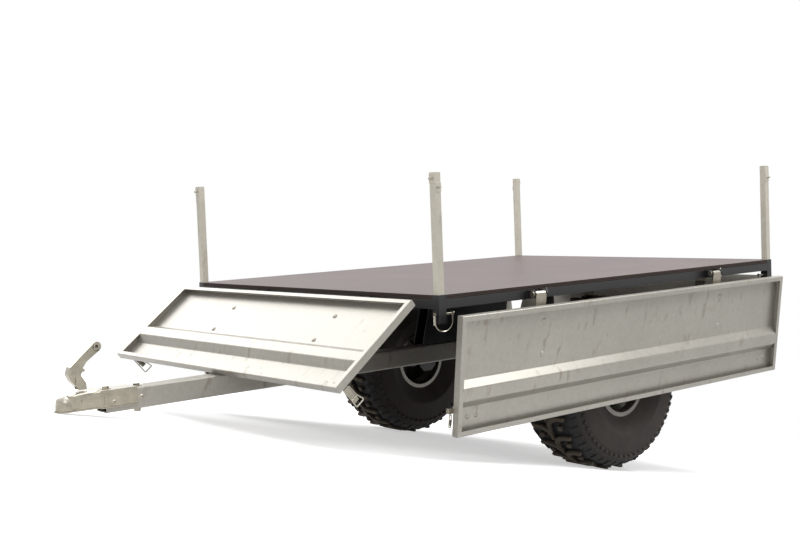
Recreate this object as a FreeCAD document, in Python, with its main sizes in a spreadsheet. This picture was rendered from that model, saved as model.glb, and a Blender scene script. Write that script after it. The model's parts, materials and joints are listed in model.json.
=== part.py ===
import FreeCAD, Part
import math
import os
import Sketcher
from FreeCAD import Placement, Rotation, Vector

# Small off-road flatbed trailer with four lift-out corner posts and four drop sides.
# It is drawn in a trailer frame: X forward to the coupler, Y to the trailer's left, Z up,
# with the origin at the middle of the deck's front edge, on top of the deck.
# The parked trailer rests on its tyres and the nose of its coupler, so the last step
# tips every piece by the parking angle and sets the floor to Z = 0.

SIZES = (
    ("deck_length", 1875, "deck board, front edge to rear edge"),
    ("deck_width", 1460, "deck board, left edge to right edge"),
    ("deck_thickness", 15, "film-faced plywood"),
    ("board_gap", 0.5, "play of the board round a corner socket"),
    ("rail_side", 30, "square tube round the deck"),
    ("rail_wall", 2, "wall of that tube"),
    ("cross_spacing", 312.5, "centre distance of the cross rails"),
    ("bearer_width", 60, "long bearers below the cross rails"),
    ("bearer_height", 40, "their height"),
    ("bearer_wall", 3, "their wall"),
    ("bearer_spread", 600, "centre distance of the two bearers"),
    ("bearer_inset", 130, "deck edge to the end of a bearer"),
    ("upright_side", 50, "square uprights between axle beam and bearers"),
    ("upright_wall", 3, "their wall"),
    ("socket_side", 31, "outside of a corner socket"),
    ("socket_wall", 2.5, "its wall"),
    ("socket_depth", 92, "its length below the deck top"),
    ("post_side", 25, "galvanised corner post"),
    ("post_wall", 2, "its wall"),
    ("post_height", 390, "post above the deck top"),
    ("post_foot", 84, "post below the deck top"),
    ("side_catch_drop", 48, "post top to the catch of a side panel's latch"),
    ("end_catch_drop", 20, "post top to the catch of an end panel's latch"),
    ("catch_radius", 4, "catch stub"),
    ("catch_reach", 12, "how far the stub stands out of its plate"),
    ("catch_plate", 2, "thickness of the plate under the stub"),
    ("catch_plate_height", 30, "its height"),
    ("lock_pin_drop", 62, "deck top to the post lock pin"),
    ("lock_pin_radius", 4, "post lock pin"),
    ("lock_pin_reach", 9, "how far the pin stands out of the socket's end face"),
    ("lock_pin_length", 83, "its length"),
    ("bail_wire", 2.5, "wire of the pin's bail, as a radius"),
    ("bail_leg", 18, "straight leg of the bail"),
    ("axle_setback", 953, "deck front edge to the wheel centres"),
    ("axle_drop", 408, "deck top to the wheel centres"),
    ("wheel_track", 1138, "tyre centre to tyre centre"),
    ("beam_side", 70, "square axle beam"),
    ("beam_wall", 4, "its wall"),
    ("beam_length", 830, "its length across the trailer"),
    ("drawbar_side", 70, "square drawbar"),
    ("drawbar_wall", 4, "its wall"),
    ("drawbar_corner", 6, "its outer corner radius"),
    ("drawbar_drop", 267, "deck top to drawbar top"),
    ("drawbar_reach", 814, "deck front edge to the drawbar's front end"),
    ("web_plate", 5, "plate of the pedestal"),
    ("web_front", 600, "deck front edge to the pedestal's top front corner"),
    ("web_slope", 60, "how far its foot stands further forward"),
    ("web_rear", 1032, "deck front edge to the pedestal's top rear corner"),
    ("web_flange_width", 110, "width of its top plate"),
    ("drop_plate", 12, "plate that carries a stub axle"),
    ("drop_plate_width", 90, "its width"),
    ("drop_plate_foot", 45, "stub axle centre to the plate's foot"),
    ("spindle_radius", 15, "stub axle inside the hub"),
    ("spindle_shoulder", 22, "stub axle next to the plate, as a radius"),
    ("hub_play", 0.05, "radial play between hub and stub axle"),
    ("hub_radius", 36, "hub barrel"),
    ("hub_inner", 62, "hub barrel inboard of the wheel's middle"),
    ("hub_outer", 52, "hub barrel outboard of it"),
    ("hub_flange_radius", 72, "wheel bolt flange"),
    ("hub_flange", 9, "its thickness"),
    ("hub_cap_radius", 26, "grease cap"),
    ("hub_cap", 22, "length of the grease cap"),
    ("disc_offset", 24, "wheel middle to the disc's inner face"),
    ("disc_plate", 5, "wheel disc"),
    ("disc_dish", 26, "how far the disc's rim side stands inboard"),
    ("bolt_circle", 55, "wheel bolts, as a radius"),
    ("bolt_radius", 10, "wheel nut"),
    ("nut_height", 11, "its height"),
    ("stud_radius", 6, "wheel stud"),
    ("stud_play", 0.5, "its play in the disc"),
    ("bolt_height", 14, "stud beyond the disc"),
    ("rim_lip_radius", 125, "outside of the rim's lip"),
    ("rim_bead_radius", 113, "bead seat"),
    ("rim_well_radius", 96, "well of the rim"),
    ("rim_width", 220, "lip to lip"),
    ("rim_wall", 4, "rim metal"),
    ("rim_seat", 34, "width of a bead seat"),
    ("rim_ramp", 18, "slope from bead seat to well"),
    ("tyre_radius", 325, "over the lug tips"),
    ("tyre_width", 290, "at the widest part of the sidewall"),
    ("tyre_wall", 10, "carcass"),
    ("lug_height", 19, "tread lugs in the middle"),
    ("lug_flat", 1, "middle of a lug's flat top below its corners"),
    ("tread_width", 246, "over the shoulder blocks"),
    ("shoulder_drop", 9, "shoulder blocks below the middle lugs"),
    ("hip_drop", 32, "shoulder edge to the top of the sidewall"),
    ("hip_step", 16, "how far that stands outside the tread"),
    ("panel_sheet", 2, "drop-side sheet"),
    ("panel_depth", 25, "depth of the pressed tray"),
    ("panel_height", 395, "hinge edge to free edge"),
    ("panel_lip", 18, "return lip of the tray"),
    ("panel_gap", 5, "shut panel to deck and posts"),
    ("rib_start", 213, "hinge edge of the tray to the foot of the rib"),
    ("rib_slope", 26, "width of a rib slope"),
    ("rib_crest", 40, "width of the rib's crest"),
    ("hinge_out", 27, "deck edge to the hinge axis"),
    ("hinge_drop", 28, "deck top to the hinge axis"),
    ("hinge_pin_radius", 6, "hinge pin"),
    ("hinge_pin_play", 0.08, "radial play of a hinge pin"),
    ("hinge_pin_head", 4, "thickness of its head"),
    ("barrel_radius", 10, "eye of a hinge strap"),
    ("lug_plate", 6, "hinge lug"),
    ("lug_nose", 13, "round nose of a hinge lug, as a radius"),
    ("lug_play", 1, "play between hinge lug and strap"),
    ("strap_width", 50, "hinge strap"),
    ("strap_thickness", 5, "its thickness"),
    ("strap_bend", 40, "hinge axis to the bend of the strap"),
    ("side_strap", 222, "hinge axis to the end of a side panel's strap"),
    ("end_strap", 253, "the same on the front and rear panels"),
    ("side_hinge_front", 434, "deck front edge to the front side hinge"),
    ("side_hinge_rear", 1440, "deck front edge to the rear side hinge"),
    ("end_hinge_left", 358, "deck middle to the left end hinge"),
    ("end_hinge_right", 264, "deck middle to the right end hinge"),
    ("panel_rest", 0.2, "front panel above the drawbar where it rests"),
    ("side_open", 186.9, "side panels, degrees from shut as they hang"),
    ("rear_open", 188.4, "rear panel, the same on a level trailer"),
    ("latch_length", 70, "latch base plate"),
    ("latch_width", 26, "its width"),
    ("latch_plate", 3, "its thickness"),
    ("latch_inset", 8, "panel end to the latch base"),
    ("latch_lever", 46, "length of the latch lever"),
    ("latch_lever_width", 16, "its width"),
    ("latch_lever_height", 6, "its height over the base plate"),
    ("loop_reach", 27, "how far the wire loop stands past the panel end"),
    ("loop_width", 26, "wire loop, outside"),
    ("loop_wire", 3, "thickness of the wire"),
    ("coupler_plate", 4, "pressed steel of the coupler"),
    ("coupler_play", 0.3, "coupler round the drawbar"),
    ("coupler_rear", 705, "deck front edge to the coupler's rear end"),
    ("coupler_shoulder", 833, "deck front edge to its shoulder"),
    ("coupler_side", 55, "depth of the coupler's side over the drawbar"),
    ("ball_reach", 935, "deck front edge to the ball centre"),
    ("ball_drop", 300, "deck top to the ball centre"),
    ("ball_radius", 25.3, "ball cup"),
    ("cup_wall", 5.5, "wall round the cup"),
    ("cup_skirt", 13, "ball centre to the rim of the cup"),
    ("cup_lip", 6, "how far the rim stands out"),
    ("cup_lip_height", 4, "height of the rim"),
    ("body_step", 893, "deck front edge to where the coupler's top starts to fall"),
    ("body_corner", 6, "round upper corners of the coupler at its shoulder"),
    ("lever_setback", 38, "ball centre to the lever's pivot"),
    ("lever_pivot_rise", 47, "drawbar top to the pivot"),
    ("lever_back", 91, "pivot to the grip's end, rearwards"),
    ("lever_rise", 109, "pivot to the grip's end, upwards"),
    ("lever_hole", 4.5, "hole in the grip, as a radius"),
    ("lever_width", 25, "coupler lever"),
    ("lever_wall", 3, "its wall"),
    ("lever_pivot_radius", 5, "its pivot pin"),
)

CORNERS = (("front_left", 0, 1), ("front_right", 0, -1), ("rear_left", -1, 1), ("rear_right", -1, -1))
LUG_PITCHES = 24
CROSS_RAILS = 5
WHEEL_BOLTS = 4


class Size:
    """A length with the sheet formula that gives it, so that sums stay bound to the sheet."""

    def __init__(self, value, formula=None):
        self.value = float(value)
        self.formula = formula or repr(float(value))

    def __add__(self, other):
        other = as_size(other)
        return Size(self.value + other.value, f"({self.formula} + {other.formula})")

    def __sub__(self, other):
        other = as_size(other)
        return Size(self.value - other.value, f"({self.formula} - {other.formula})")

    def __mul__(self, other):
        other = as_size(other)
        return Size(self.value * other.value, f"({self.formula} * {other.formula})")

    def __truediv__(self, other):
        other = as_size(other)
        return Size(self.value / other.value, f"({self.formula} / {other.formula})")

    def __neg__(self):
        return Size(-self.value, f"(0 - {self.formula})")

    __radd__ = __add__
    __rmul__ = __mul__

    def __rsub__(self, other):
        return as_size(other) - self

    def __float__(self):
        return self.value


def as_size(number):
    return number if isinstance(number, Size) else Size(number)


class Arc:
    """The round edge that leaves a corner: its radius, and whether it turns left."""

    def __init__(self, radius, left=True):
        self.radius = as_size(radius)
        self.left = left


doc = FreeCAD.newDocument("Trailer")
sheet = doc.addObject("Spreadsheet::Sheet", "Sizes")


class Sheet:
    """The driving sizes by name."""


s = Sheet()
for row, (alias, number, meaning) in enumerate(SIZES, start=1):
    sheet.set(f"A{row}", alias)
    sheet.set(f"B{row}", str(number))
    sheet.set(f"C{row}", meaning)
    sheet.setAlias(f"B{row}", alias)
    setattr(s, alias, Size(number, f"Sizes.{alias}"))
doc.recompute()

pieces = {}


def bind(thing, name, size):
    """Give a property its value and tie it to the sheet."""
    thing.setExpression(name, as_size(size).formula)


def keep(label, shape_object, place=None):
    """Register a sub-part under its own name, with its place in the trailer frame."""
    shape_object.Label = label
    pieces[label] = (shape_object, place or Placement())
    return shape_object


def new_body(name):
    return doc.addObject("PartDesign::Body", name)


def origin_part(body, role):
    return next(feature for feature in body.Origin.OriginFeatures if feature.Role == role)


def draw_outline(sketch, corners):
    """Draw a closed outline whose corners and radii are tied to the sheet."""
    first = sketch.GeometryCount
    edges = []
    for number, corner in enumerate(corners):
        arc = corner[2] if len(corner) == 3 else None
        following = corners[(number + 1) % len(corners)]
        start = Vector(float(corner[0]), float(corner[1]), 0)
        end = Vector(float(following[0]), float(following[1]), 0)
        if arc is None:
            sketch.addGeometry(Part.LineSegment(start, end), False)
            edges.append((1, 2))
            continue
        chord = end - start
        half = chord.Length / 2
        rise = math.sqrt(max(float(arc.radius) ** 2 - half ** 2, 0))
        side = Vector(-chord.y, chord.x, 0).normalize() * (rise if arc.left else -rise)
        centre = (start + end) / 2 + side
        low, high = (start, end) if arc.left else (end, start)
        from_angle = math.atan2(low.y - centre.y, low.x - centre.x)
        to_angle = math.atan2(high.y - centre.y, high.x - centre.x)
        if to_angle <= from_angle:
            to_angle += math.tau
        circle = Part.Circle(centre, Vector(0, 0, 1), float(arc.radius))
        sketch.addGeometry(Part.ArcOfCircle(circle, from_angle, to_angle), False)
        edges.append((1, 2) if arc.left else (2, 1))
    count = len(corners)
    for number in range(count):
        following = (number + 1) % count
        sketch.addConstraint(Sketcher.Constraint(
            "Coincident", first + number, edges[number][1], first + following, edges[following][0]))
    for number, corner in enumerate(corners):
        for kind, size in (("DistanceX", corner[0]), ("DistanceY", corner[1])):
            index = sketch.addConstraint(Sketcher.Constraint(
                kind, -1, 1, first + number, edges[number][0], float(size)))
            bind(sketch, f"Constraints[{index}]", size)
        if len(corner) == 3:
            index = sketch.addConstraint(Sketcher.Constraint(
                "Radius", first + number, float(corner[2].radius)))
            bind(sketch, f"Constraints[{index}]", corner[2].radius)


def draw_circle(sketch, across, up, radius):
    index = sketch.addGeometry(
        Part.Circle(Vector(float(across), float(up), 0), Vector(0, 0, 1), float(radius)), False)
    for kind, size in (("DistanceX", across), ("DistanceY", up)):
        constraint = sketch.addConstraint(Sketcher.Constraint(kind, -1, 1, index, 3, float(size)))
        bind(sketch, f"Constraints[{constraint}]", size)
    constraint = sketch.addConstraint(Sketcher.Constraint("Radius", index, float(radius)))
    bind(sketch, f"Constraints[{constraint}]", radius)


def new_sketch(body, name, plane, outlines, circles=(), start=0):
    """A sketch on one of the body's planes, moved along the axis across it to start."""
    sketch = body.newObject("Sketcher::SketchObject", name)
    sketch.AttachmentSupport = [(origin_part(body, plane), "")]
    sketch.MapMode = "FlatFace"
    offset = -as_size(start) if plane == "XZ_Plane" else as_size(start)
    bind(sketch, "AttachmentOffset.Base.z", offset)
    for corners in outlines:
        draw_outline(sketch, corners)
    for across, up, radius in circles:
        draw_circle(sketch, across, up, radius)
    return sketch


def pad(body, name, plane, outlines, start, length, circles=()):
    """Push outlines from start towards the plus side of the axis across their plane."""
    sketch = new_sketch(body, name + "_outline", plane, outlines, circles, start)
    feature = body.newObject("PartDesign::Pad", name)
    feature.Profile = sketch
    feature.Reversed = plane == "XZ_Plane"
    bind(feature, "Length", length)
    return feature


def pocket(body, name, plane, outlines, start, length, circles=()):
    """Cut outlines out, from start towards the plus side of the axis across their plane."""
    sketch = new_sketch(body, name + "_outline", plane, outlines, circles, start)
    feature = body.newObject("PartDesign::Pocket", name)
    feature.Profile = sketch
    feature.Reversed = plane != "XZ_Plane"
    bind(feature, "Length", length)
    return feature


def turned(body, name, plane, corners, axis, cut=False):
    """Turn an outline a whole turn about one of the body's axes."""
    sketch = new_sketch(body, name + "_outline", plane, [corners])
    feature = body.newObject("PartDesign::Groove" if cut else "PartDesign::Revolution", name)
    feature.Profile = sketch
    feature.ReferenceAxis = (origin_part(body, axis), [""])
    feature.Angle = 360
    return feature


def rectangle(low_across, low_up, high_across, high_up):
    return [(low_across, low_up), (high_across, low_up), (high_across, high_up), (low_across, high_up)]


def rounded_rectangle(low_across, low_up, high_across, high_up, corner):
    return [
        (low_across + corner, low_up), (high_across - corner, low_up, Arc(corner)),
        (high_across, low_up + corner), (high_across, high_up - corner, Arc(corner)),
        (high_across - corner, high_up), (low_across + corner, high_up, Arc(corner)),
        (low_across, high_up - corner), (low_across, low_up + corner, Arc(corner)),
    ]


def square_ring(across, up, side, wall):
    """Two nested squares: the section of a square tube round a centre."""
    return [
        rectangle(across - side / 2, up - side / 2, across + side / 2, up + side / 2),
        rectangle(across - side / 2 + wall, up - side / 2 + wall,
                  across + side / 2 - wall, up + side / 2 - wall),
    ]


# Levels and places that several pieces share
board_bottom = -s.deck_thickness
rail_bottom = board_bottom - s.rail_side
rail_middle = board_bottom - s.rail_side / 2
bearer_bottom = rail_bottom - s.bearer_height
bar_top = -s.drawbar_drop
bar_bottom = bar_top - s.drawbar_side
beam_bottom = bar_top - s.beam_side
half_width = s.deck_width / 2
axle_x = -s.axle_setback
axle_z = -s.axle_drop
hinge_z = -s.hinge_drop
panel_foot = s.hinge_drop + s.panel_gap
post_inner = s.socket_side / 2 + s.post_side / 2
panel_end_gap = post_inner + s.panel_gap
side_panel_length = s.deck_length - 2 * panel_end_gap
end_panel_length = s.deck_width - 2 * panel_end_gap
wheel_y = s.wheel_track / 2
lug_tip = s.tyre_radius - s.lug_flat
lug_pitch = s.tyre_radius * (math.tau / LUG_PITCHES)
overrun = s.deck_thickness


def deck_board():
    """The plywood deck, notched round the four corner sockets."""
    notch = s.socket_side + s.board_gap
    front, back = Size(0), -s.deck_length
    corners = [
        (front, half_width - notch), (-notch, half_width - notch), (-notch, half_width),
        (back + notch, half_width), (back + notch, half_width - notch), (back, half_width - notch),
        (back, -half_width + notch), (back + notch, -half_width + notch), (back + notch, -half_width),
        (-notch, -half_width), (-notch, -half_width + notch), (front, -half_width + notch),
    ]
    body = new_body("DeckBoard")
    pad(body, "board", "XY_Plane", [corners], board_bottom, s.deck_thickness)
    keep("deck_board", body)


def hinge_lug_outline(outward, edge):
    """A lug in the plane across the hinge axis, from the rail face out round the pin."""
    axis = edge + outward * s.hinge_out
    nose = s.lug_nose
    left = outward < 0
    return [
        (edge, board_bottom), (axis, hinge_z + nose, Arc(nose, left)),
        (axis + outward * nose, hinge_z, Arc(nose, left)), (axis, hinge_z - nose),
        (edge, rail_bottom),
    ]


def hinge_lugs(body, plane, edge, outward, centres):
    """Two lugs for each hinge, one each side of the strap's eye, bored for the pin."""
    bore = s.hinge_pin_radius + s.hinge_pin_play
    reach = s.strap_width / 2 + s.lug_play
    for number, centre in enumerate(centres):
        for side, start in (("a", centre + reach), ("b", centre - reach - s.lug_plate)):
            pad(body, f"lug{number}{side}", plane, [hinge_lug_outline(outward, edge)], start,
                s.lug_plate, [(edge + outward * s.hinge_out, hinge_z, bore)])


def side_rail(name, label, sign):
    """A long rail with the hinge lugs of its side panel."""
    body = new_body(name)
    middle = sign * (half_width - s.rail_side / 2)
    pad(body, "tube", "YZ_Plane", square_ring(middle, rail_middle, s.rail_side, s.rail_wall),
        -s.deck_length + s.socket_side, s.deck_length - 2 * s.socket_side)
    hinge_lugs(body, "YZ_Plane", sign * half_width, sign, (-s.side_hinge_front, -s.side_hinge_rear))
    keep(label, body)


def end_rail(name, label, outward, edge):
    """A cross rail at the front or rear edge with the hinge lugs of its panel."""
    body = new_body(name)
    middle = edge - outward * s.rail_side / 2
    pad(body, "tube", "XZ_Plane", square_ring(middle, rail_middle, s.rail_side, s.rail_wall),
        -half_width + s.socket_side, s.deck_width - 2 * s.socket_side)
    hinge_lugs(body, "XZ_Plane", edge, outward, (s.end_hinge_left, -s.end_hinge_right))
    keep(label, body)


def box_tube(name, plane, low_across, low_up, high_across, high_up, start, length, wall):
    """A straight tube of rectangular section, as two boxes cut from each other."""
    solids = []
    for title, shrink in (("Outer", Size(0)), ("Inner", wall)):
        box = doc.addObject("Part::Box", name + title)
        across = high_across - low_across - 2 * shrink
        up = high_up - low_up - 2 * shrink
        corner_across, corner_up = low_across + shrink, low_up + shrink
        if plane == "YZ_Plane":
            spans, corner = (length, across, up), (start, corner_across, corner_up)
        elif plane == "XZ_Plane":
            spans, corner = (across, length, up), (corner_across, start, corner_up)
        else:
            spans, corner = (across, up, length), (corner_across, corner_up, start)
        for prop, span in zip(("Length", "Width", "Height"), spans):
            bind(box, prop, span)
        for axis, place in zip("xyz", corner):
            bind(box, f"Placement.Base.{axis}", place)
        solids.append(box)
    tube = doc.addObject("Part::Cut", name)
    tube.Base, tube.Tool = solids
    return tube


def joined(name, objects):
    """Like pieces that don't touch, under one name."""
    group = doc.addObject("Part::Compound", name)
    group.Links = objects
    return group


def cross_rails():
    tubes = []
    for number in range(1, CROSS_RAILS + 1):
        centre = -s.cross_spacing * number
        tubes.append(box_tube(
            f"CrossRail{number}", "XZ_Plane", centre - s.rail_side / 2, rail_bottom,
            centre + s.rail_side / 2, board_bottom, -half_width + s.rail_side,
            s.deck_width - 2 * s.rail_side, s.rail_wall))
    keep("cross_rails", joined("CrossRails", tubes))


def bearers():
    tubes = []
    for side in (-1, 1):
        centre = side * s.bearer_spread / 2
        tubes.append(box_tube(
            f"Bearer{side + 1}", "YZ_Plane", centre - s.bearer_width / 2, bearer_bottom,
            centre + s.bearer_width / 2, rail_bottom, -s.deck_length + s.bearer_inset,
            s.deck_length - 2 * s.bearer_inset, s.bearer_wall))
    keep("bearers", joined("Bearers", tubes))


def axle_uprights():
    tubes = []
    for side in (-1, 1):
        centre = side * s.bearer_spread / 2
        half = s.upright_side / 2
        tubes.append(box_tube(
            f"Upright{side + 1}", "XY_Plane", axle_x - half, centre - half, axle_x + half, centre + half,
            bar_top, bearer_bottom - bar_top, s.upright_wall))
    keep("axle_uprights", joined("AxleUprights", tubes))


def pedestal():
    """Two cheeks on the drawbar and axle beam with a plate under the cross rails."""
    body = new_body("Pedestal")
    rear_foot = axle_x - s.beam_side / 2
    top = rail_bottom - s.web_plate
    cheek = [
        (-s.web_front + s.web_slope, bar_top), (-s.web_front, top), (-s.web_rear, top),
        (rear_foot, bar_top),
    ]
    outer = s.drawbar_side / 2 - s.drawbar_corner
    for side, start in (("left", outer - s.web_plate), ("right", -outer)):
        pad(body, f"cheek_{side}", "XZ_Plane", [cheek], start, s.web_plate)
    flange = rectangle(-s.web_rear, -s.web_flange_width / 2, -s.web_front, s.web_flange_width / 2)
    pad(body, "flange", "XY_Plane", [flange], top, s.web_plate)
    keep("pedestal", body)


def axle_beam():
    tube = box_tube(
        "AxleBeam", "XZ_Plane", axle_x - s.beam_side / 2, beam_bottom, axle_x + s.beam_side / 2,
        bar_top, -s.beam_length / 2, s.beam_length, s.beam_wall)
    keep("axle_beam", tube)


def stub_axle(name, label, side):
    """The drop plate at a beam end with the stub axle that carries the hub."""
    body = new_body(name)
    low = axle_z - s.drop_plate_foot
    half = s.drop_plate_width / 2
    corner = s.drop_plate_foot * 0.5
    plate = [
        (axle_x - half, bar_top), (axle_x + half, bar_top), (axle_x + half, low + corner),
        (axle_x + half - corner, low), (axle_x - half + corner, low), (axle_x - half, low + corner),
    ]
    outer_face = s.beam_length / 2 + s.drop_plate
    inner_hub = wheel_y - s.hub_inner
    shoulder_end = inner_hub - s.lug_play
    spindle_end = wheel_y + s.hub_outer - s.lug_play
    if side > 0:
        places = (s.beam_length / 2, outer_face, shoulder_end)
    else:
        places = (-outer_face, -shoulder_end, -spindle_end)
    pad(body, "plate", "XZ_Plane", [plate], places[0], s.drop_plate)
    pad(body, "shoulder", "XZ_Plane", [], places[1], shoulder_end - outer_face,
        [(axle_x, axle_z, s.spindle_shoulder)])
    pad(body, "spindle", "XZ_Plane", [], places[2], spindle_end - shoulder_end,
        [(axle_x, axle_z, s.spindle_radius)])
    keep(label, body)


def drawbar():
    """The galvanised drawbar, a tube with round corners that ends at the axle beam."""
    body = new_body("Drawbar")
    half = s.drawbar_side / 2
    inner = half - s.drawbar_wall
    rear = axle_x + s.beam_side / 2
    sections = [
        rounded_rectangle(-half, bar_bottom, half, bar_top, s.drawbar_corner),
        rectangle(-inner, bar_bottom + s.drawbar_wall, inner, bar_top - s.drawbar_wall),
    ]
    pad(body, "tube", "YZ_Plane", sections, rear, s.drawbar_reach - rear)
    keep("drawbar", body)


def body_section(half, low, high, corner):
    """A section across the coupler: square at the foot, round at its two upper corners."""
    return [
        (-half, low), (half, low), (half, high - corner, Arc(corner)), (half - corner, high),
        (-half + corner, high, Arc(corner)), (-half, high - corner),
    ]


def loft(body, name, plane, sections, cut=False):
    """Join two or more outlines, each on its own plane, by straight lines between their edges."""
    sketches = []
    for number, (start, corners) in enumerate(sections):
        sketches.append(new_sketch(body, f"{name}_outline{number}", plane, [corners], (), start))
    feature = body.newObject("PartDesign::SubtractiveLoft" if cut else "PartDesign::AdditiveLoft", name)
    feature.Profile = sketches[0]
    feature.Sections = sketches[1:]
    feature.Ruled = True
    return feature


def turned_at_ball(body, name, corners, cut=False):
    """Turn an outline about the upright line through the ball's centre; its last edge is the axis."""
    outline = [(s.ball_reach + corner[0], *corner[1:]) for corner in corners]
    sketch = new_sketch(body, name + "_outline", "XZ_Plane", [outline])
    feature = body.newObject("PartDesign::Groove" if cut else "PartDesign::Revolution", name)
    feature.Profile = sketch
    feature.ReferenceAxis = (sketch, ["Edge%d" % len(corners)])
    feature.Angle = 360


def coupler_body():
    """The pressed coupler: a channel over the drawbar, a body that falls and narrows, and a ball cup."""
    body = new_body("CouplerBody")
    inner = s.drawbar_side / 2 + s.coupler_play
    outer = inner + s.coupler_plate
    roof = bar_top + s.coupler_play
    top = roof + s.coupler_plate
    low = top - s.coupler_side
    cup_low = -s.ball_drop - s.cup_skirt
    cup_outer = s.ball_radius + s.cup_wall
    dome = -s.ball_drop + cup_outer
    waist = (outer + cup_outer) / 2
    step = s.body_step
    pad(body, "channel", "XY_Plane", [rectangle(s.coupler_rear, -outer, s.coupler_shoulder, outer)],
        low, top - low)
    loft(body, "front", "YZ_Plane", [
        (s.coupler_shoulder, body_section(outer, cup_low, top, s.body_corner)),
        (step, body_section(waist, cup_low, top, s.body_corner * 2))])
    loft(body, "nose", "YZ_Plane", [
        (step, body_section(waist, cup_low, top, s.body_corner * 2)),
        (s.ball_reach, body_section(cup_outer, cup_low, dome, cup_outer * 0.8))])
    cup = [
        (0, cup_low), (cup_outer, cup_low), (cup_outer, -s.ball_drop, Arc(cup_outer)), (0, dome),
    ]
    turned_at_ball(body, "cup", cup)
    lip = cup_outer + s.cup_lip
    turned_at_ball(body, "lip", rectangle(0, cup_low - s.cup_lip_height, lip, cup_low))
    flange = [
        (s.coupler_shoulder, -outer - s.cup_lip_height), (s.ball_reach, -lip), (s.ball_reach, lip),
        (s.coupler_shoulder, outer + s.cup_lip_height),
    ]
    pad(body, "flange", "XY_Plane", [flange], cup_low - s.cup_lip_height, s.cup_lip_height)
    rear_cavity = rectangle(s.coupler_rear - overrun, -inner, s.coupler_shoulder - s.coupler_plate, inner)
    pocket(body, "channel_hollow", "XY_Plane", [rear_cavity], low - overrun, roof - low + overrun)
    throat_front = s.ball_reach - cup_outer
    throat_low = cup_low - s.cup_lip_height - overrun
    plate = s.coupler_plate
    loft(body, "throat", "YZ_Plane", [
        (s.coupler_shoulder, body_section(inner, throat_low, roof, s.body_corner / 2)),
        (throat_front, body_section(waist - 2 * plate, throat_low, roof - 2 * plate, s.body_corner))],
        cut=True)
    hollow = [
        (0, throat_low), (s.ball_radius, throat_low), (s.ball_radius, -s.ball_drop, Arc(s.ball_radius)),
        (0, -s.ball_drop + s.ball_radius),
    ]
    turned_at_ball(body, "ball", hollow, cut=True)
    keep("coupler_body", body)


# The lever seen from its side, as shares of its reach back and of its rise, from the pivot:
# the knee in front, the grip at the top, then the inner edge with its hook and the foot.
LEVER_SHARES = (
    (0.31, 0.01), (0.42, 0.17), (0.37, 0.28), (-0.66, 1.0), (-0.86, 0.98), (-1.0, 0.84),
    (-0.46, 0.5), (-0.22, 0.29), (-0.36, 0.22), (-0.21, 0.15), (-0.12, 0.05), (-0.08, -0.1), (0.12, -0.1),
)


def coupler_lever():
    """The raised lever of the coupler: a bracket on its top and a channel-shaped handle."""
    body = new_body("CouplerLever")
    seat = bar_top + s.coupler_play + s.coupler_plate
    half = s.lever_width / 2
    pivot_x, pivot_z = s.ball_reach - s.lever_setback, bar_top + s.lever_pivot_rise
    rise = pivot_z - seat
    bracket = [
        (pivot_x - rise * 0.8, seat), (pivot_x, seat), (pivot_x + rise * 0.2, seat + rise * 0.65),
        (pivot_x + rise * 0.2, pivot_z + rise * 0.15), (pivot_x - rise * 0.25, pivot_z + rise * 0.15),
        (pivot_x - rise * 0.72, seat + rise * 0.75),
    ]
    inner_half = half - s.lever_wall - s.lug_play / 2
    pad(body, "bracket", "XZ_Plane", [bracket], -inner_half, inner_half * 2)
    pad(body, "pivot", "XZ_Plane", [], -half - s.lever_wall, s.lever_width + 2 * s.lever_wall,
        [(pivot_x, pivot_z, s.lever_pivot_radius)])
    outline = [(pivot_x + s.lever_back * back, pivot_z + s.lever_rise * up) for back, up in LEVER_SHARES]
    hole = (pivot_x - s.lever_back * 0.81, pivot_z + s.lever_rise * 0.89, s.lever_hole)
    for side, start in (("left", half - s.lever_wall), ("right", -half)):
        pad(body, f"cheek_{side}", "XZ_Plane", [outline], start, s.lever_wall, [hole])
    inset = s.lever_wall * 0.7
    foot, knee, shin, grip = outline[:4]
    web = [
        foot, knee, shin, grip, (grip[0] - inset, grip[1] - inset), (shin[0] - s.lever_wall, shin[1] - inset),
        (knee[0] - s.lever_wall, knee[1]), (foot[0] - inset, foot[1] + inset),
    ]
    pad(body, "web", "XZ_Plane", [web], -half, s.lever_width)
    keep("coupler_lever", body)


def corner_place(across_share, side):
    """The centre of a corner socket in plan; the share is 0 in front and -1 at the rear."""
    inset = s.socket_side / 2
    x = -inset if across_share == 0 else -s.deck_length + inset
    return x, side * (half_width - inset)


def corner_socket(corner, across_share, side):
    """A square socket welded into a deck corner, cross-drilled for the lock pin."""
    body = new_body("Socket_" + corner)
    x, y = corner_place(across_share, side)
    pad(body, "tube", "XY_Plane", square_ring(x, y, s.socket_side, s.socket_wall),
        -s.socket_depth, s.socket_depth)
    hole = s.lock_pin_radius + s.hinge_pin_play
    pocket(body, "pin_hole", "YZ_Plane", [], x - s.socket_side, 2 * s.socket_side,
           [(y, -s.lock_pin_drop, hole)])
    keep(f"socket_{corner}", body)


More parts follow.
